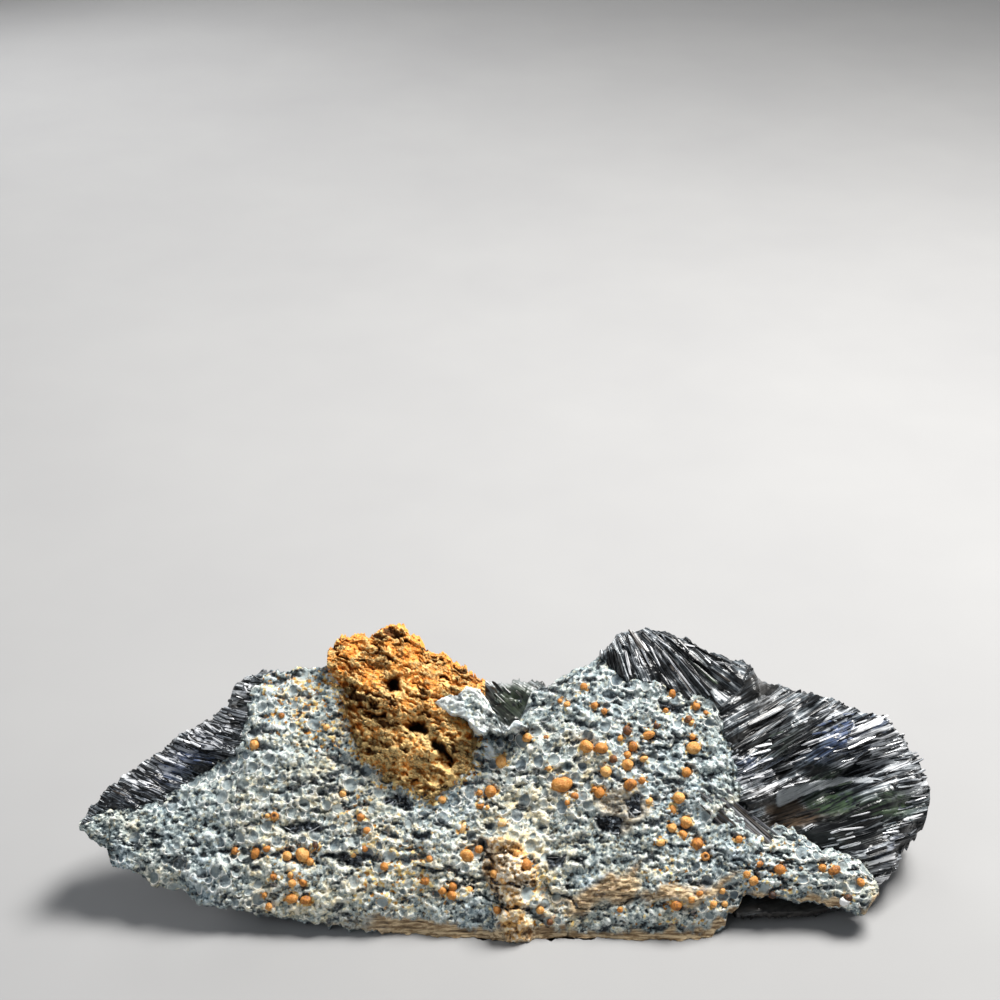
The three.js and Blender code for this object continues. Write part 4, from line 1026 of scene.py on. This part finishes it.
# The same for the slab over the arm.
SPRAY = [
    [29.6, 24.8, 37, 18.6, 0.4, "n"], [30.2, 24.9, 38.4, 18, 0.4, "s"], [31, 24.6, 39.6, 17.4, 0.4, "n"],
    [32, 24.4, 41, 17, 0.5, "s"], [33, 24.2, 42.4, 16.2, 0.5, "s"], [34.2, 23.8, 43.6, 15.6, 0.5, "n"],
    [35.4, 23.6, 44.6, 15.2, 0.6, "s"], [36.6, 23.4, 45.4, 15.6, 0.5, "n"], [37.6, 22.8, 46, 16.6, 0.4, "s"],
    [38, 21.8, 45, 16.4, 0.4, "p"], [30.4, 23.8, 35, 19.6, 0.4, "s"], [31.6, 22.8, 36.6, 18, 0.3, "n"],
    [35, 19.6, 41, 14.8, 0.4, "s"], [37, 18.6, 43.6, 14, 0.5, "n"], [40, 17.4, 45.2, 13.8, 0.5, "s"],
    [33.4, 25.8, 36.4, 23.4, 0.5, "s"], [36, 25.6, 38.4, 23, 0.6, "s"], [34.4, 26.6, 36.6, 25.4, 0.3, "p"],
    [41.6, 18.6, 45.4, 15.2, 0.6, "s"], [38.6, 20.2, 44, 15.4, 0.4, "n"], [33, 21.6, 37.4, 17.2, 0.4, "s"],
]
# Broad crystals of the fan: outline, how far they stand out, and streak, gleam (painted highlight), green, blue
# and brown.
PLATES = [
    [[[44.3, 22], [50.1, 23.2], [52.8, 20.7], [54.5, 18.7], [51.6, 17.9], [47.6, 19.3],
      [44.2, 20.4]], -0.3, (0.42, 0, 0, 0, 0.9)],
    [[[51.8, 22.7], [57, 24.6], [61, 24.1], [59.7, 21.5], [55.1, 20.4],
      [52.6, 20.8]], -0.3, (0.42, 0, 0.9, 0, 0)],
    [[[63.8, 23.5], [66.2, 24.4], [67.5, 22.7], [67.2, 21], [64.9, 21.2]], -0.2, (0.4, 0.1, 0.9, 0, 0)],
    [[[51.9, 26.9], [56, 28.2], [58.3, 28.2], [58.3, 27.2], [52.5, 26.1]], -0.3, (0.36, 0, 0.8, 0, 0)],
    [[[55.3, 33.5], [57.4, 35.5], [60.4, 36.7], [61.2, 35.8], [59.7, 33.8],
      [56.7, 32.9]], -0.2, (0.45, 0.1, 0, 0.9, 0)],
    [[[45.6, 28.2], [52, 28.9], [57.7, 29], [57.7, 28.2], [51.9, 26.9], [46.7, 26.1]], -0.5, (0.1, 0, 0, 0, 0)],
    [[[46, 16], [52, 18.6], [58, 20], [64, 19.6], [66, 15.6], [60, 14],
      [50, 13]], -0.3, (0.2, 0.15, 0.1, 0, 0.1)],
    [[[34, 8], [61, 8.4], [62, 2], [34, 0]], 0, (0.02, 0, 0, 0, 0, 0.5)],
    [[[46.3, 23.5], [46.6, 24.2], [51.9, 25.6], [58.2, 27], [61.7, 27.2], [65.1, 26.6], [65.2, 25.9],
      [60.5, 25.9], [55.9, 24.9], [51.2, 23.6], [47.1, 21.5],
      [46.5, 21.9]], 0.35, (1.25, 0, 0.05, 0.2, 0, 0.6)],
    [[[60.8, 34.8], [62.1, 35.9], [63.9, 37], [65.5, 37.6], [66.5, 37.3], [65.7, 36.4], [64.1, 35.6],
      [62.3, 34.9], [61.1, 34.4]], 0.4, (0.85, 1, 0, 0, 0)],
    [[[59.1, 33], [63.2, 34.6], [67.9, 36.5], [69, 36.3], [65.5, 34.5], [62, 33.2],
      [59.3, 32.3]], 0.35, (0.75, 0.5, 0, 0, 0)],
    [[[59.3, 31.8], [64.3, 33.8], [69.3, 35.8], [70.1, 35.2], [65.4, 33], [60.7, 31.2],
      [59.4, 31.1]], 0.35, (0.7, 0.5, 0, 0, 0)],
    [[[60.7, 30.5], [65.4, 32.3], [70.1, 34.1], [70.6, 33.5], [65.9, 31.5],
      [61.2, 29.8]], 0.35, (0.7, 0.5, 0, 0, 0)],
    [[[61.8, 29.5], [66.5, 31.1], [70.6, 32.5], [70.8, 31.8], [67, 30.3],
      [62.3, 28.8]], 0.35, (0.7, 0.5, 0, 0, 0)],
    [[[38.4, 25.9], [41, 26.7], [43.9, 27.6], [46, 28.2], [46.2, 27.5], [44.4, 26.8], [42.1, 26.2],
      [39.8, 25.4], [38.5, 25.4]], 0.35, (0.8, 0.9, 0, 0.3, 0)],
    [[[60.8, 12], [63.4, 12.6], [66.9, 14], [67.6, 13.4], [66.9, 12.4], [64.5, 12],
      [61.6, 11.2]], 0.3, (0.8, 0.9, 0, 0, 0)],
]
# The crest above the fan, where the blades point down to the right.
CREST = [[14, 56], [36, 54], [42.5, 48], [40.4, 41.5], [36, 38], [14, 40]]
# The same for the broken upper-left edge.
STRIP = [
    [-52.8, 35.9, -51, 34.6, 0.5, "w"], [-52.3, 36.1, -50, 35.5, 0.3, "w"], [-53, 34.6, -51, 33.6, 0.3, "w"],
    [-51.1, 35, -49.5, 34, 0.4, "w"], [-52.6, 33.4, -51, 32.9, 0.3, "w"], [-51, 33.1, -49.2, 32.1, 0.3, "w"],
    [-49.7, 34.6, -47.9, 34, 0.3, "w"], [-50.3, 33.6, -47.5, 32.9, 0.3, "p"],
    [-51.3, 32.4, -49.7, 31.5, 0.3, "w"], [-52.7, 31.4, -48.9, 31.2, 0.4, "p"],
    [-55.3, 33.3, -54.3, 32.6, 0.7, "c"], [-54.8, 32.4, -53.4, 31.7, 0.4, "w"],
    [-56.4, 32.6, -55.7, 31.2, 0.3, "p"], [-54.7, 34.6, -53.7, 34, 0.5, "c"],
    [-56.9, 34.1, -55.8, 33.6, 0.3, "p"], [-49.8, 38.3, -45.9, 37.2, 1.2, "p"],
    [-49.6, 36.9, -47.6, 36.5, 0.3, "w"], [-46.7, 39.8, -44.5, 39.5, 0.4, "w"],
    [-47.8, 40.5, -46.6, 40.1, 0.3, "c"], [-46.1, 42.3, -45.6, 41.2, 0.3, "w"],
    [-45.5, 43, -44.6, 42.3, 0.4, "w"], [-59.2, 30.5, -57.8, 29.8, 0.2, "u"],
    [-58.5, 29.5, -56.4, 28.8, 0.2, "p"], [-60.2, 28.8, -58.4, 28.1, 0.2, "u"],
    [-61.9, 27.4, -60.1, 26.7, 0.2, "p"], [-62.9, 28.5, -61.2, 27.8, 0.2, "p"],
    [-64.2, 26.1, -62.1, 25, 0.4, "w"], [-63.5, 25.2, -61.6, 24.5, 0.3, "w"],
    [-64.5, 25, -63.1, 24.3, 0.3, "w"], [-66.6, 25.7, -65.6, 25.2, 0.2, "p"],
    [-68.7, 25, -66.6, 24.4, 0.3, "n"], [-67.6, 24, -65.8, 23.3, 0.3, "n"],
    [-55.7, 30.2, -50.9, 29.7, 0.7, "u"], [-54.3, 29.3, -51.2, 28.8, 0.6, "u"],
    [-65.5, 24.4, -63.4, 23.6, 0.4, "k"], [-63.4, 23.9, -61.7, 23, 0.4, "k"],
]
# gleam is painted highlight: it paints crystals near white.
LOOKS = {  # streak, gleam, green, blue, brown
    "w": (0.66, 1, 0, 0, 0), "b": (0.62, 0.9, 0, 0.4, 0), "c": (0.68, 0.95, 0, 0, 0.25),
    "p": (0.66, 0.3, 0.15, 0.2, 0), "g": (0.55, 0.05, 0.9, 0, 0), "s": (0.95, 0.1, 0, 0.3, 0.35),
    "n": (0.6, 0.05, 0, 0, 0.6), "u": (0.5, 0.1, 0, 0.9, 0), "k": (0.25, 0, 0, 0, 0.2),
}

# Outlines, [u, v], of the groups as seen from the front.
FAN_LOW = [
    [16, 47], [17, 42], [30, 38.6], [34.6, 34], [36.4, 13], [38, 7], [39.4, 3], [50, 3], [56, 4], [60, 5],
    [62.6, 7], [64, 8.4], [67.6, 11.6], [69.6, 15], [72.2, 18], [73.9, 24],
]
FAN_HIGH = [
    [16, 47.6], [18.4, 50], [20.2, 52], [24.6, 53], [28, 52.3], [31.7, 50.6], [35.2, 48.3], [39.4, 47],
    [42, 46.8], [43.8, 44.6], [46.4, 43.7], [50.7, 42.3], [56.7, 40.8], [62.8, 38.7], [67, 37.2], [70.3, 33.7],
    [72.8, 30.6], [73.9, 26],
]
EDGE_LOW = [[-73, 17.6], [-70, 17.6], [-60, 19.8], [-54, 23.4], [-48, 27], [-45.6, 33], [-43, 43.4]]
EDGE_HIGH = [
    [-73, 19.2], [-72, 21.6], [-67.2, 26.4], [-62.1, 29.8], [-57.1, 34], [-53.7, 35.8], [-49.4, 38.8],
    [-48, 41.9], [-46.1, 43.6], [-43, 45],
]
NOTCH_LOW = [[-6, 41.6], [-3.6, 37.6], [-1, 33], [1.8, 35.4], [4.4, 41], [6.4, 42]]
NOTCH_HIGH = [[-6, 42.8], [-4, 43.4], [-1.6, 42.8], [1.2, 43.4], [4.2, 43.4], [6.4, 42.6]]


def rays(spread, u, v):
    """Distances along and across blades that spread from a place, bending a little."""
    a, b, reach = spread
    bent = v + 0.8 * rough(u / 16, v / 9, 90, 2)
    return np.hypot(u - a, bent - b), reach * np.arctan2(bent - b, u - a)


def unit(vectors):
    """The same directions with length 1."""
    return vectors / np.maximum(np.linalg.norm(vectors, axis=-1, keepdims=True), 1e-9)


def laths(start, end, width, thick, rng, roll):
    """Rings of flat crystals with slanted tips, and the distances along and across each."""
    count = len(start)
    span = end - start
    length = np.linalg.norm(span, axis=1)
    aim = unit(span)
    side = unit(np.cross([0.0, 0.0, 1.0], aim))
    up = np.cross(aim, side)
    angle = rng.normal(0, roll, (count, 1))
    side, up = side * np.cos(angle) + up * np.sin(angle), up * np.cos(angle) - side * np.sin(angle)
    t = np.array([0, 0.15, 0.5, 0.9, 1.0])
    broad = np.array([0.5, 0.9, 1, 0.95, 0.6])
    corners = np.array([[-1, 0], [-0.8, 0.8], [0.1, 1.0], [0.8, 0.8], [1, 0], [0, -0.9]])
    section = np.tile(corners, (count, 1, 1))
    section[:, 2, 0] = rng.uniform(-0.4, 0.5, count)
    section[:, 1:4, 1] *= rng.uniform(0.7, 1.1, (count, 3))
    slant = rng.uniform(-1.2, 1.2, (count, 1)) * np.array([0.4, 0.2, 0, 0.6, 1.0])
    s = (width[:, None] / 2 * broad)[:, :, None] * section[:, None, :, 0]
    n = (thick[:, None] / 2 * broad)[:, :, None] * section[:, None, :, 1]
    reach = length[:, None, None] * t[None, :, None] + slant[:, :, None] * s
    rings = start[:, None, None, :]
    for way, distance in ((aim, reach), (side, s), (up, n)):
        rings = rings + way[:, None, None, :] * distance[..., None]
    away = rng.uniform(0, 60, (2, count, 1, 1))
    return rings, np.stack([reach + away[0], s + n + away[1], 0 * s], -1) / 1000


def laid(count, patch, height, spread, within, sizes, rng, spare, lift, swing=0.06, roll=0.25):
    """Laths laid on a surface where within(u, v), how far a place is inside the group, is above 0.

    sizes are the ranges of length, width and thickness. Gives the rings, the distances along and across, and
    the middle of each lath."""
    (short, long), (narrow, broad), (thin, deep) = sizes
    u = rng.uniform(patch.u[0, 0], patch.u[0, -1], count * 12)
    v = rng.uniform(patch.v[0, 0], patch.v[-1, 0], count * 12)
    keep = np.flatnonzero(within(u, v) > 0)[:count]
    u, v = u[keep], v[keep]
    turn = np.arctan2(v - spread[1], u - spread[0]) + rng.normal(0, swing, len(u))
    length = short + (long - short) * rng.random(len(u)) ** 1.5
    aim = np.stack([np.cos(turn), np.sin(turn)], -1)
    ends = []
    for way in (-1, 1):
        reach, open_ = np.zeros(len(u)), np.ones(len(u), bool)
        over = rng.uniform(0, spare, len(u))
        for k in range(1, STEPS + 1):
            d = length / 2 * k / STEPS
            open_ &= within(u + way * aim[:, 0] * d, v + way * aim[:, 1] * d) > -over
            reach = np.where(open_, d, reach)
        ends.append(np.stack([u, v], -1) + way * aim * reach[:, None])
    size = rng.random(len(u)) ** 1.8
    width = narrow + (broad - narrow) * size
    thick = thin + (deep - thin) * rng.random(len(u))
    rise = lift + rng.normal(0, 0.12, len(u))
    pitch = rng.normal(0, 0.12, len(u))
    start, end = (
        np.column_stack([at, patch.at(height, at[:, 0], at[:, 1]) + rise + way * pitch])
        for at, way in zip(ends, (-1, 1))
    )
    real = np.linalg.norm(end - start, axis=1) > SHORTEST
    rings, comb = laths(start[real], end[real], width[real], thick[real], rng, roll)
    return rings, comb, u[real], v[real]


def spot(u, v, a, b, reach_u, reach_v, turn):
    """1 at (a, b), falling to nothing over the reaches along and across a direction."""
    c, s = math.cos(math.radians(turn)), math.sin(math.radians(turn))
    x, y = (u - a) * c + (v - b) * s, (v - b) * c - (u - a) * s
    return np.exp(-((x / reach_u) ** 2 + (y / reach_v) ** 2))


# Where crystals look green, blue or brown or get painted gleam, a painted highlight: u, v, reach along and
# across, direction, strength.
HUES = {
    "green": [
        (56, 26, 4, 1.6, 18, 1), (60, 20.4, 6, 2, 14, 1), (68, 22, 4, 2, 20, 1), (48, 32, 4, 1.5, 25, 0.6),
        (1, 40, 4, 4, 0, 1), (33, 45, 4, 1.5, -48, 0.4),
    ],
    "blue": [
        (60, 33, 7, 2.2, 28, 1), (42, 28, 4, 2, 5, 0.6), (66, 14, 4, 2, 10, 0.5), (-57, 29, 8, 2, 36, 0.9),
        (-19, 22, 4, 2, 0, 0.8),
    ],
    "brown": [
        (48, 18.5, 7, 1.8, 14, 1), (44, 24, 3, 1, 10, 0.5), (54, 17, 6, 1.6, 14, 0.6), (45, 38, 4, 4, 0, 0.25),
    ],
    "facet": [
        (44, 42, 4.5, 3, 50, 0.6), (41.4, 33.4, 3.6, 1.8, 20, 0.7), (45, 3, 12, 4, 0, 0.7),
        (-47, 39, 2, 1.6, 0, 1), (0, 39, 6, 8, 0, 0.6),
    ],
    "gleam": [
        (66.5, 31.6, 6.5, 3.4, 28, 0.4), (62, 35, 4, 0.8, 30, 0.3), (45.6, 24.4, 4.4, 1, 20, 1),
        (42.5, 27.6, 3.4, 1.2, 8, 0.7), (47, 20.6, 3.6, 0.5, 22, 0.9), (58, 28.6, 8, 0.8, 14, 0.7),
        (63, 13, 6, 2.2, 14, 0.35), (66, 9.4, 4, 1.2, 12, 1), (71.4, 26, 3, 2.4, 20, 0.5),
        (55, 36, 7, 1.6, 30, 0.4), (46, 41, 3, 1, 40, 0.3), (26, 46.6, 5, 1, 125, 0.35),
        (33, 46, 6, 1.4, 130, 0.3), (24, 47, 3, 2, 120, 0.3), (-51, 34, 3.6, 2.4, -20, 1),
        (-48.4, 37.6, 2.2, 1.1, -18, 1), (-54.4, 32.8, 2, 1.4, 0, 0.9), (-63, 25.6, 3, 1.6, -26, 1),
        (-59, 29, 7, 2, 35, 0.7), (-46, 41.4, 1.6, 1.6, -20, 0.9), (0, 43, 5, 0.6, 0, 0.2),
    ],
}


def looks(u, v, streak, rng=None):
    """The marks that the crystals' paint reads, at each place."""
    read = {"streak": streak}
    for hue, spots in HUES.items():
        total = sum(power * spot(u, v, a, b, ru, rv, turn) for a, b, ru, rv, turn, power in spots)
        read[hue] = np.clip(total, 0, 1)
    if rng is not None:
        for hue in HUES:
            read[hue] = np.clip(read[hue] * rng.uniform(0.2, 1.4, len(u)), 0, 1)
    return read


def crystal_body(name, node, low, high, spread, seed, across, sections, relief=1.0, met=None, plates=()):
    """The mass of a group: a body over the CAD node with its front drawn out into fine blades.

    met(u, v) is 1 where the group grows out of the rind."""
    box = (low[0][0] - 2, low[-1][0] + 3), (min(v for _, v in low) - 3, max(v for _, v in high) + 3)
    patch, coarse = Patch(*box, 0.13), Patch(*box, 0.5)
    u, v = patch.u, patch.v
    front = coarse.at(coarse.base(node, 1.6), u, v)
    # Where the crystals grow out of the rind they stand level with it and dip under its torn edge.
    meets = met(u, v) if met else 0 * u
    out = -inside([*SLAB_LOW, *SLAB_HIGH[::-1]], u, v)
    torn = out + 0.9 * patch.rough(1.5, 1.2, seed + 7, 3)
    slab = face.at(slab_level, u, v) + 0.2
    front = front + np.maximum(slab - front, 0) * meets * np.exp(-((np.maximum(out, 0) / 5) ** 2))
    front = front + 1.1 * meets * np.minimum(torn, 0)
    crest = inside(CREST, u, v) > 0
    far, side = (np.where(crest, *pair) for pair in zip(rays(CREST_FROM, u, v), rays(spread, u, v)))
    side = side + 0.1 * rough(far / 4, side / 1.2, seed + 1)
    group, group_tone = chipped(far / 16, side / 3.4, seed + 2)
    blade, blade_tone = chipped(far / 12, side / 1.3, seed + 3)
    sliver, sliver_tone = chipped(far / 6, side / 0.55, seed + 4)
    facet = looks(u, v, 0)["facet"]
    warp_u, warp_v = (x + 0.8 * noise(x / 3, x / 5 + 2, n) for x, n in ((u, seed), (v, seed + 9)))
    front = front + 0.7 * facet * chipped(warp_u / 3.6, warp_v / 3, seed + 8)[0]
    drawn = 0.55 * group + 0.34 * blade + 0.13 * sliver + 0.06 * rough(far / 5, side / 0.4, seed + 5, 2)
    height = front + relief * (1 - 0.85 * facet) * drawn
    streak = np.clip(0.34 * group_tone + 0.4 * blade_tone + 0.26 * sliver_tone, 0, 1)
    for outline, stand, look in plates:
        soft = 0.08 if stand > 0 else 0.7
        on = step(-soft, soft, inside(outline, u, v + (0.1 + soft) * rough(far / 2, side, seed + 70, 3)))
        height = height * (1 - on) + (blur(height, 8) + stand + 0.06 * sliver) * on
        streak = streak * (1 - on) + (look[0] + 0.3 * (sliver_tone - 0.5)) * on

    u = np.linspace(low[0][0], low[-1][0], sections)[:, None]
    shift = 0.6 * rough(u / 1.6, u * 0 + 2, seed + 31, 3, 0.7)
    bottom = along(low, u + shift) + 0.25 * rough(u / 1.1, u * 0, seed + 30, 3, 0.7)
    top = np.maximum(along(high, u - shift) + 0.25 * rough(u / 1.1, u * 0, seed + 40, 3, 0.7), bottom + 0.3)
    v, v_back = up_and_down(bottom, top, across, back_points=60)
    w = patch.at(height, u + 0 * v, v) - 0.8 * step(0.8, 0, np.minimum(v - bottom, top - v))
    slanting = u + 0.4 * v_back
    flutes = chipped(slanting / 3, v_back / 10, seed + 50)[0]
    flutes = flutes + 0.4 * chipped(slanting / 0.9, v_back / 5, seed + 51)[0]
    behind = coarse.at(coarse.base(node, 1.6, front=False), u + 0 * v_back, v_back) + 0.6 * flutes
    behind = np.minimum(behind, patch.at(height, u + 0 * v_back, v_back) - 0.6)

    def bulge(w_wall, _):
        return 0.5 * rough(u / 0.8, w_wall / 2.5, seed + 60, 3, 0.6)

    points, faces, _ = shell(u, bottom, top, (v, w), (v_back, behind), bulge, rows=26)
    where = points[:, 0], points[:, 1]
    read = looks(*where, patch.at(streak, *where))
    for outline, stand, look in plates:
        soft = 0.1 if stand > 0 else 0.8
        on = step(-soft, soft, inside(outline, *where))
        for mark, value in zip(("gleam", "green", "blue", "brown", "facet"), look[1:]):
            read[mark] = read[mark] * (1 - on) + value * on
    below = np.maximum(patch.at(height, *where) - points[:, 2] - 0.3, 0)
    read["comb"] = np.stack([patch.at(far, *where), patch.at(side, *where), 0.25 * below], -1) / 1000
    made(name, points, faces, read, CRYSTAL, [node])
    return patch, height


def blades(name, groups, seed, shine=0.0):
    """One mesh of many laths."""
    rng = np.random.default_rng(seed)
    rings, comb, u, v = (np.concatenate(parts) for parts in zip(*groups))
    points, faces = lofted(rings)
    read = looks(u, v, 0.75 * rng.random(len(u)) ** 1.3, rng)
    # shine adds painted gleam to the laths: painted highlight.
    read["gleam"] = np.maximum(read["gleam"], shine * rng.random(len(u)) ** 2)
    read = {mark: np.repeat(values, len(points) // len(u)) for mark, values in read.items()}
    read["comb"] = lofted(comb)[0]
    made(name, points, faces, read, CRYSTAL, smooth=False)


def between(low, high):
    """How far a place is inside the outlines."""
    def inner(u, v):
        side = np.minimum(u - low[0][0], low[-1][0] - u)
        return np.minimum(np.minimum(v - along(low, u), along(high, u) - v), side)
    return inner


rng = np.random.default_rng(77)
fan, fan_height = crystal_body(
    "fan_body", "right_crystals", FAN_LOW, FAN_HIGH, FAN_FROM, 401, across=230, sections=290,
    met=lambda u, v: np.maximum(step(47, 42, u) * step(9, 15, v), step(33, 37, v)), plates=PLATES,
)
in_group = between(FAN_LOW, FAN_HIGH)


def in_fan(u, v):
    """How far a place is inside the fan, leaving out the crest and the smooth crystals that show colour."""
    smooth = [CREST] + [outline for outline, stand, _ in PLATES if stand <= 0]
    return np.minimum(in_group(u, v), -inside_any(smooth, u, v))


blades("fan_blades", [
    laid(100, fan, fan_height, FAN_FROM, in_fan, LONG, rng, spare=0.1, lift=-0.12, roll=0.3),
    laid(150, fan, fan_height, FAN_FROM, in_fan, THIN, rng, spare=0.15, lift=0.0),
], 81)


def named_blades(name, table, patch, height, seed, lift=0.1, facet=0.0):
    """The crystals that stand out, each a few laths side by side."""
    rng = np.random.default_rng(seed)
    start, end, width, kinds = [], [], [], []
    for a, b, c, d, broad, kind in table:
        aim = unit(np.array([c - a, d - b]))
        side = np.array([-aim[1], aim[0]])
        count = max(1, round(broad / LATH_BREADTH))
        for n in range(count):
            shift = side * (n + 0.5 - count / 2) * broad / count
            near, far = (np.array(at) + shift + aim * rng.uniform(-0.5, 0.5) for at in ((a, b), (c, d)))
            start.append([*near, patch.at(height, *near) + rng.uniform(lift, lift + 0.3)])
            end.append([*far, patch.at(height, *far) + rng.uniform(lift, lift + 0.3)])
            width.append(1.15 * broad / count)
            kinds.append(kind)
    width = np.array(width)
    rings, comb = laths(np.array(start), np.array(end), width, 0.3 + 0.2 * width, rng, 0.2)
    points, faces = lofted(rings)
    read = {"comb": lofted(comb)[0], "facet": np.full(len(points), facet)}
    for n, mark in enumerate(("streak", "gleam", "green", "blue", "brown")):
        values = np.array([LOOKS[kind][n] for kind in kinds])
        read[mark] = np.clip(values * rng.uniform(0.8, 1.1, len(kinds)), 0, 1)
        read[mark] = np.repeat(read[mark], len(points) // len(kinds))
    made(name, points, faces, read, CRYSTAL, smooth=False)


named_blades("fan_ridges", NAMED, fan, fan_height, 86)
edge, edge_height = crystal_body(
    "edge_body", "edge_crystals", EDGE_LOW, EDGE_HIGH, EDGE_FROM, 501,
    across=70, sections=170, met=lambda u, v: 1 + 0 * u,
)
in_edge = between(EDGE_LOW, EDGE_HIGH)
blades("edge_blades", [
    laid(300, edge, edge_height, EDGE_FROM, in_edge, SHORT, rng, spare=0.05, lift=-0.02, swing=0.2, roll=0.4),
], 82)
named_blades("edge_ridges", STRIP, edge, edge_height, 87)
notch, notch_height = crystal_body(
    "notch_body", "notch_crystals", NOTCH_LOW, NOTCH_HIGH, NOTCH_FROM, 601, across=60, sections=80, relief=0.9,
)
in_notch = between(NOTCH_LOW, NOTCH_HIGH)
blades("notch_blades", [
    laid(24, notch, notch_height, NOTCH_FROM, in_notch, STUBBY, rng, spare=0.1, lift=0.0),
], 83)


def in_hollow(u, v):
    """How far a place is inside the dark hollows."""
    return inside_any(DARK_HOLLOWS, u, v)


smooth_face = blur(surface, 4)
blades("rind_blades", [
    laid(300, face, smooth_face, HOLLOW_FROM, in_hollow, TINY, rng, spare=0.2, lift=0.05, swing=0.6, roll=0.5),
], 84, shine=0.9)
named_blades("rind_ridges", SPRAY, face, smooth_face, 88, lift=-0.3, facet=0.6)

# ---- stage --------------------------------------------------------------------------------------

MIDDLE = Vector((0, 0, 0.02))  # of the specimen
FLOOR_REACH = 3
LOOKING_DOWN = 30.1  # degrees

floor_data = bpy.data.meshes.new("floor")
corners = [(x * FLOOR_REACH, y * FLOOR_REACH, 0) for x, y in ((-1, -1), (1, -1), (1, 1), (-1, 1))]
floor_data.from_pydata(corners, [], [(0, 1, 2, 3)])
floor_data.materials.append(FLOOR)
floor = bpy.data.objects.new("floor", floor_data)
bpy.context.scene.collection.objects.link(floor)


def area_light(name, place, size, power, colour=(1, 1, 1)):
    """A square lamp that faces the specimen."""
    data = bpy.data.lights.new(name, "AREA")
    data.size, data.energy, data.color = size, power, colour
    light = bpy.data.objects.new(name, data)
    light.location = place
    light.rotation_euler = (MIDDLE - Vector(place)).to_track_quat("-Z", "Y").to_euler()
    bpy.context.scene.collection.objects.link(light)


area_light("key", (0.22, 0.16, 0.5), 0.22, 6.8, (1, 0.98, 0.95))
area_light("fill", (-0.45, -0.35, 0.4), 0.5, 0.9, (0.9, 0.95, 1))
area_light("back", (-0.25, 0.5, 0.25), 0.3, 1.2)

world = bpy.data.worlds.new("soft")
world.use_nodes = True
sky = world.node_tree.nodes["Background"].inputs
sky["Color"].default_value = (0.9, 0.94, 1, 1)
sky["Strength"].default_value = 0.16
bpy.context.scene.world = world
bpy.context.scene.view_settings.view_transform = "Standard"

lens = bpy.data.cameras.new("camera")
lens.lens, lens.sensor_width = 64.8, 36
lens.clip_start, lens.clip_end = 0.01, 20
camera = bpy.data.objects.new("camera", lens)
camera.location = (-0.0022, -0.2483, 0.2179)
camera.rotation_euler = (math.radians(90 - LOOKING_DOWN), 0, 0)
bpy.context.scene.collection.objects.link(camera)
bpy.context.scene.camera = camera
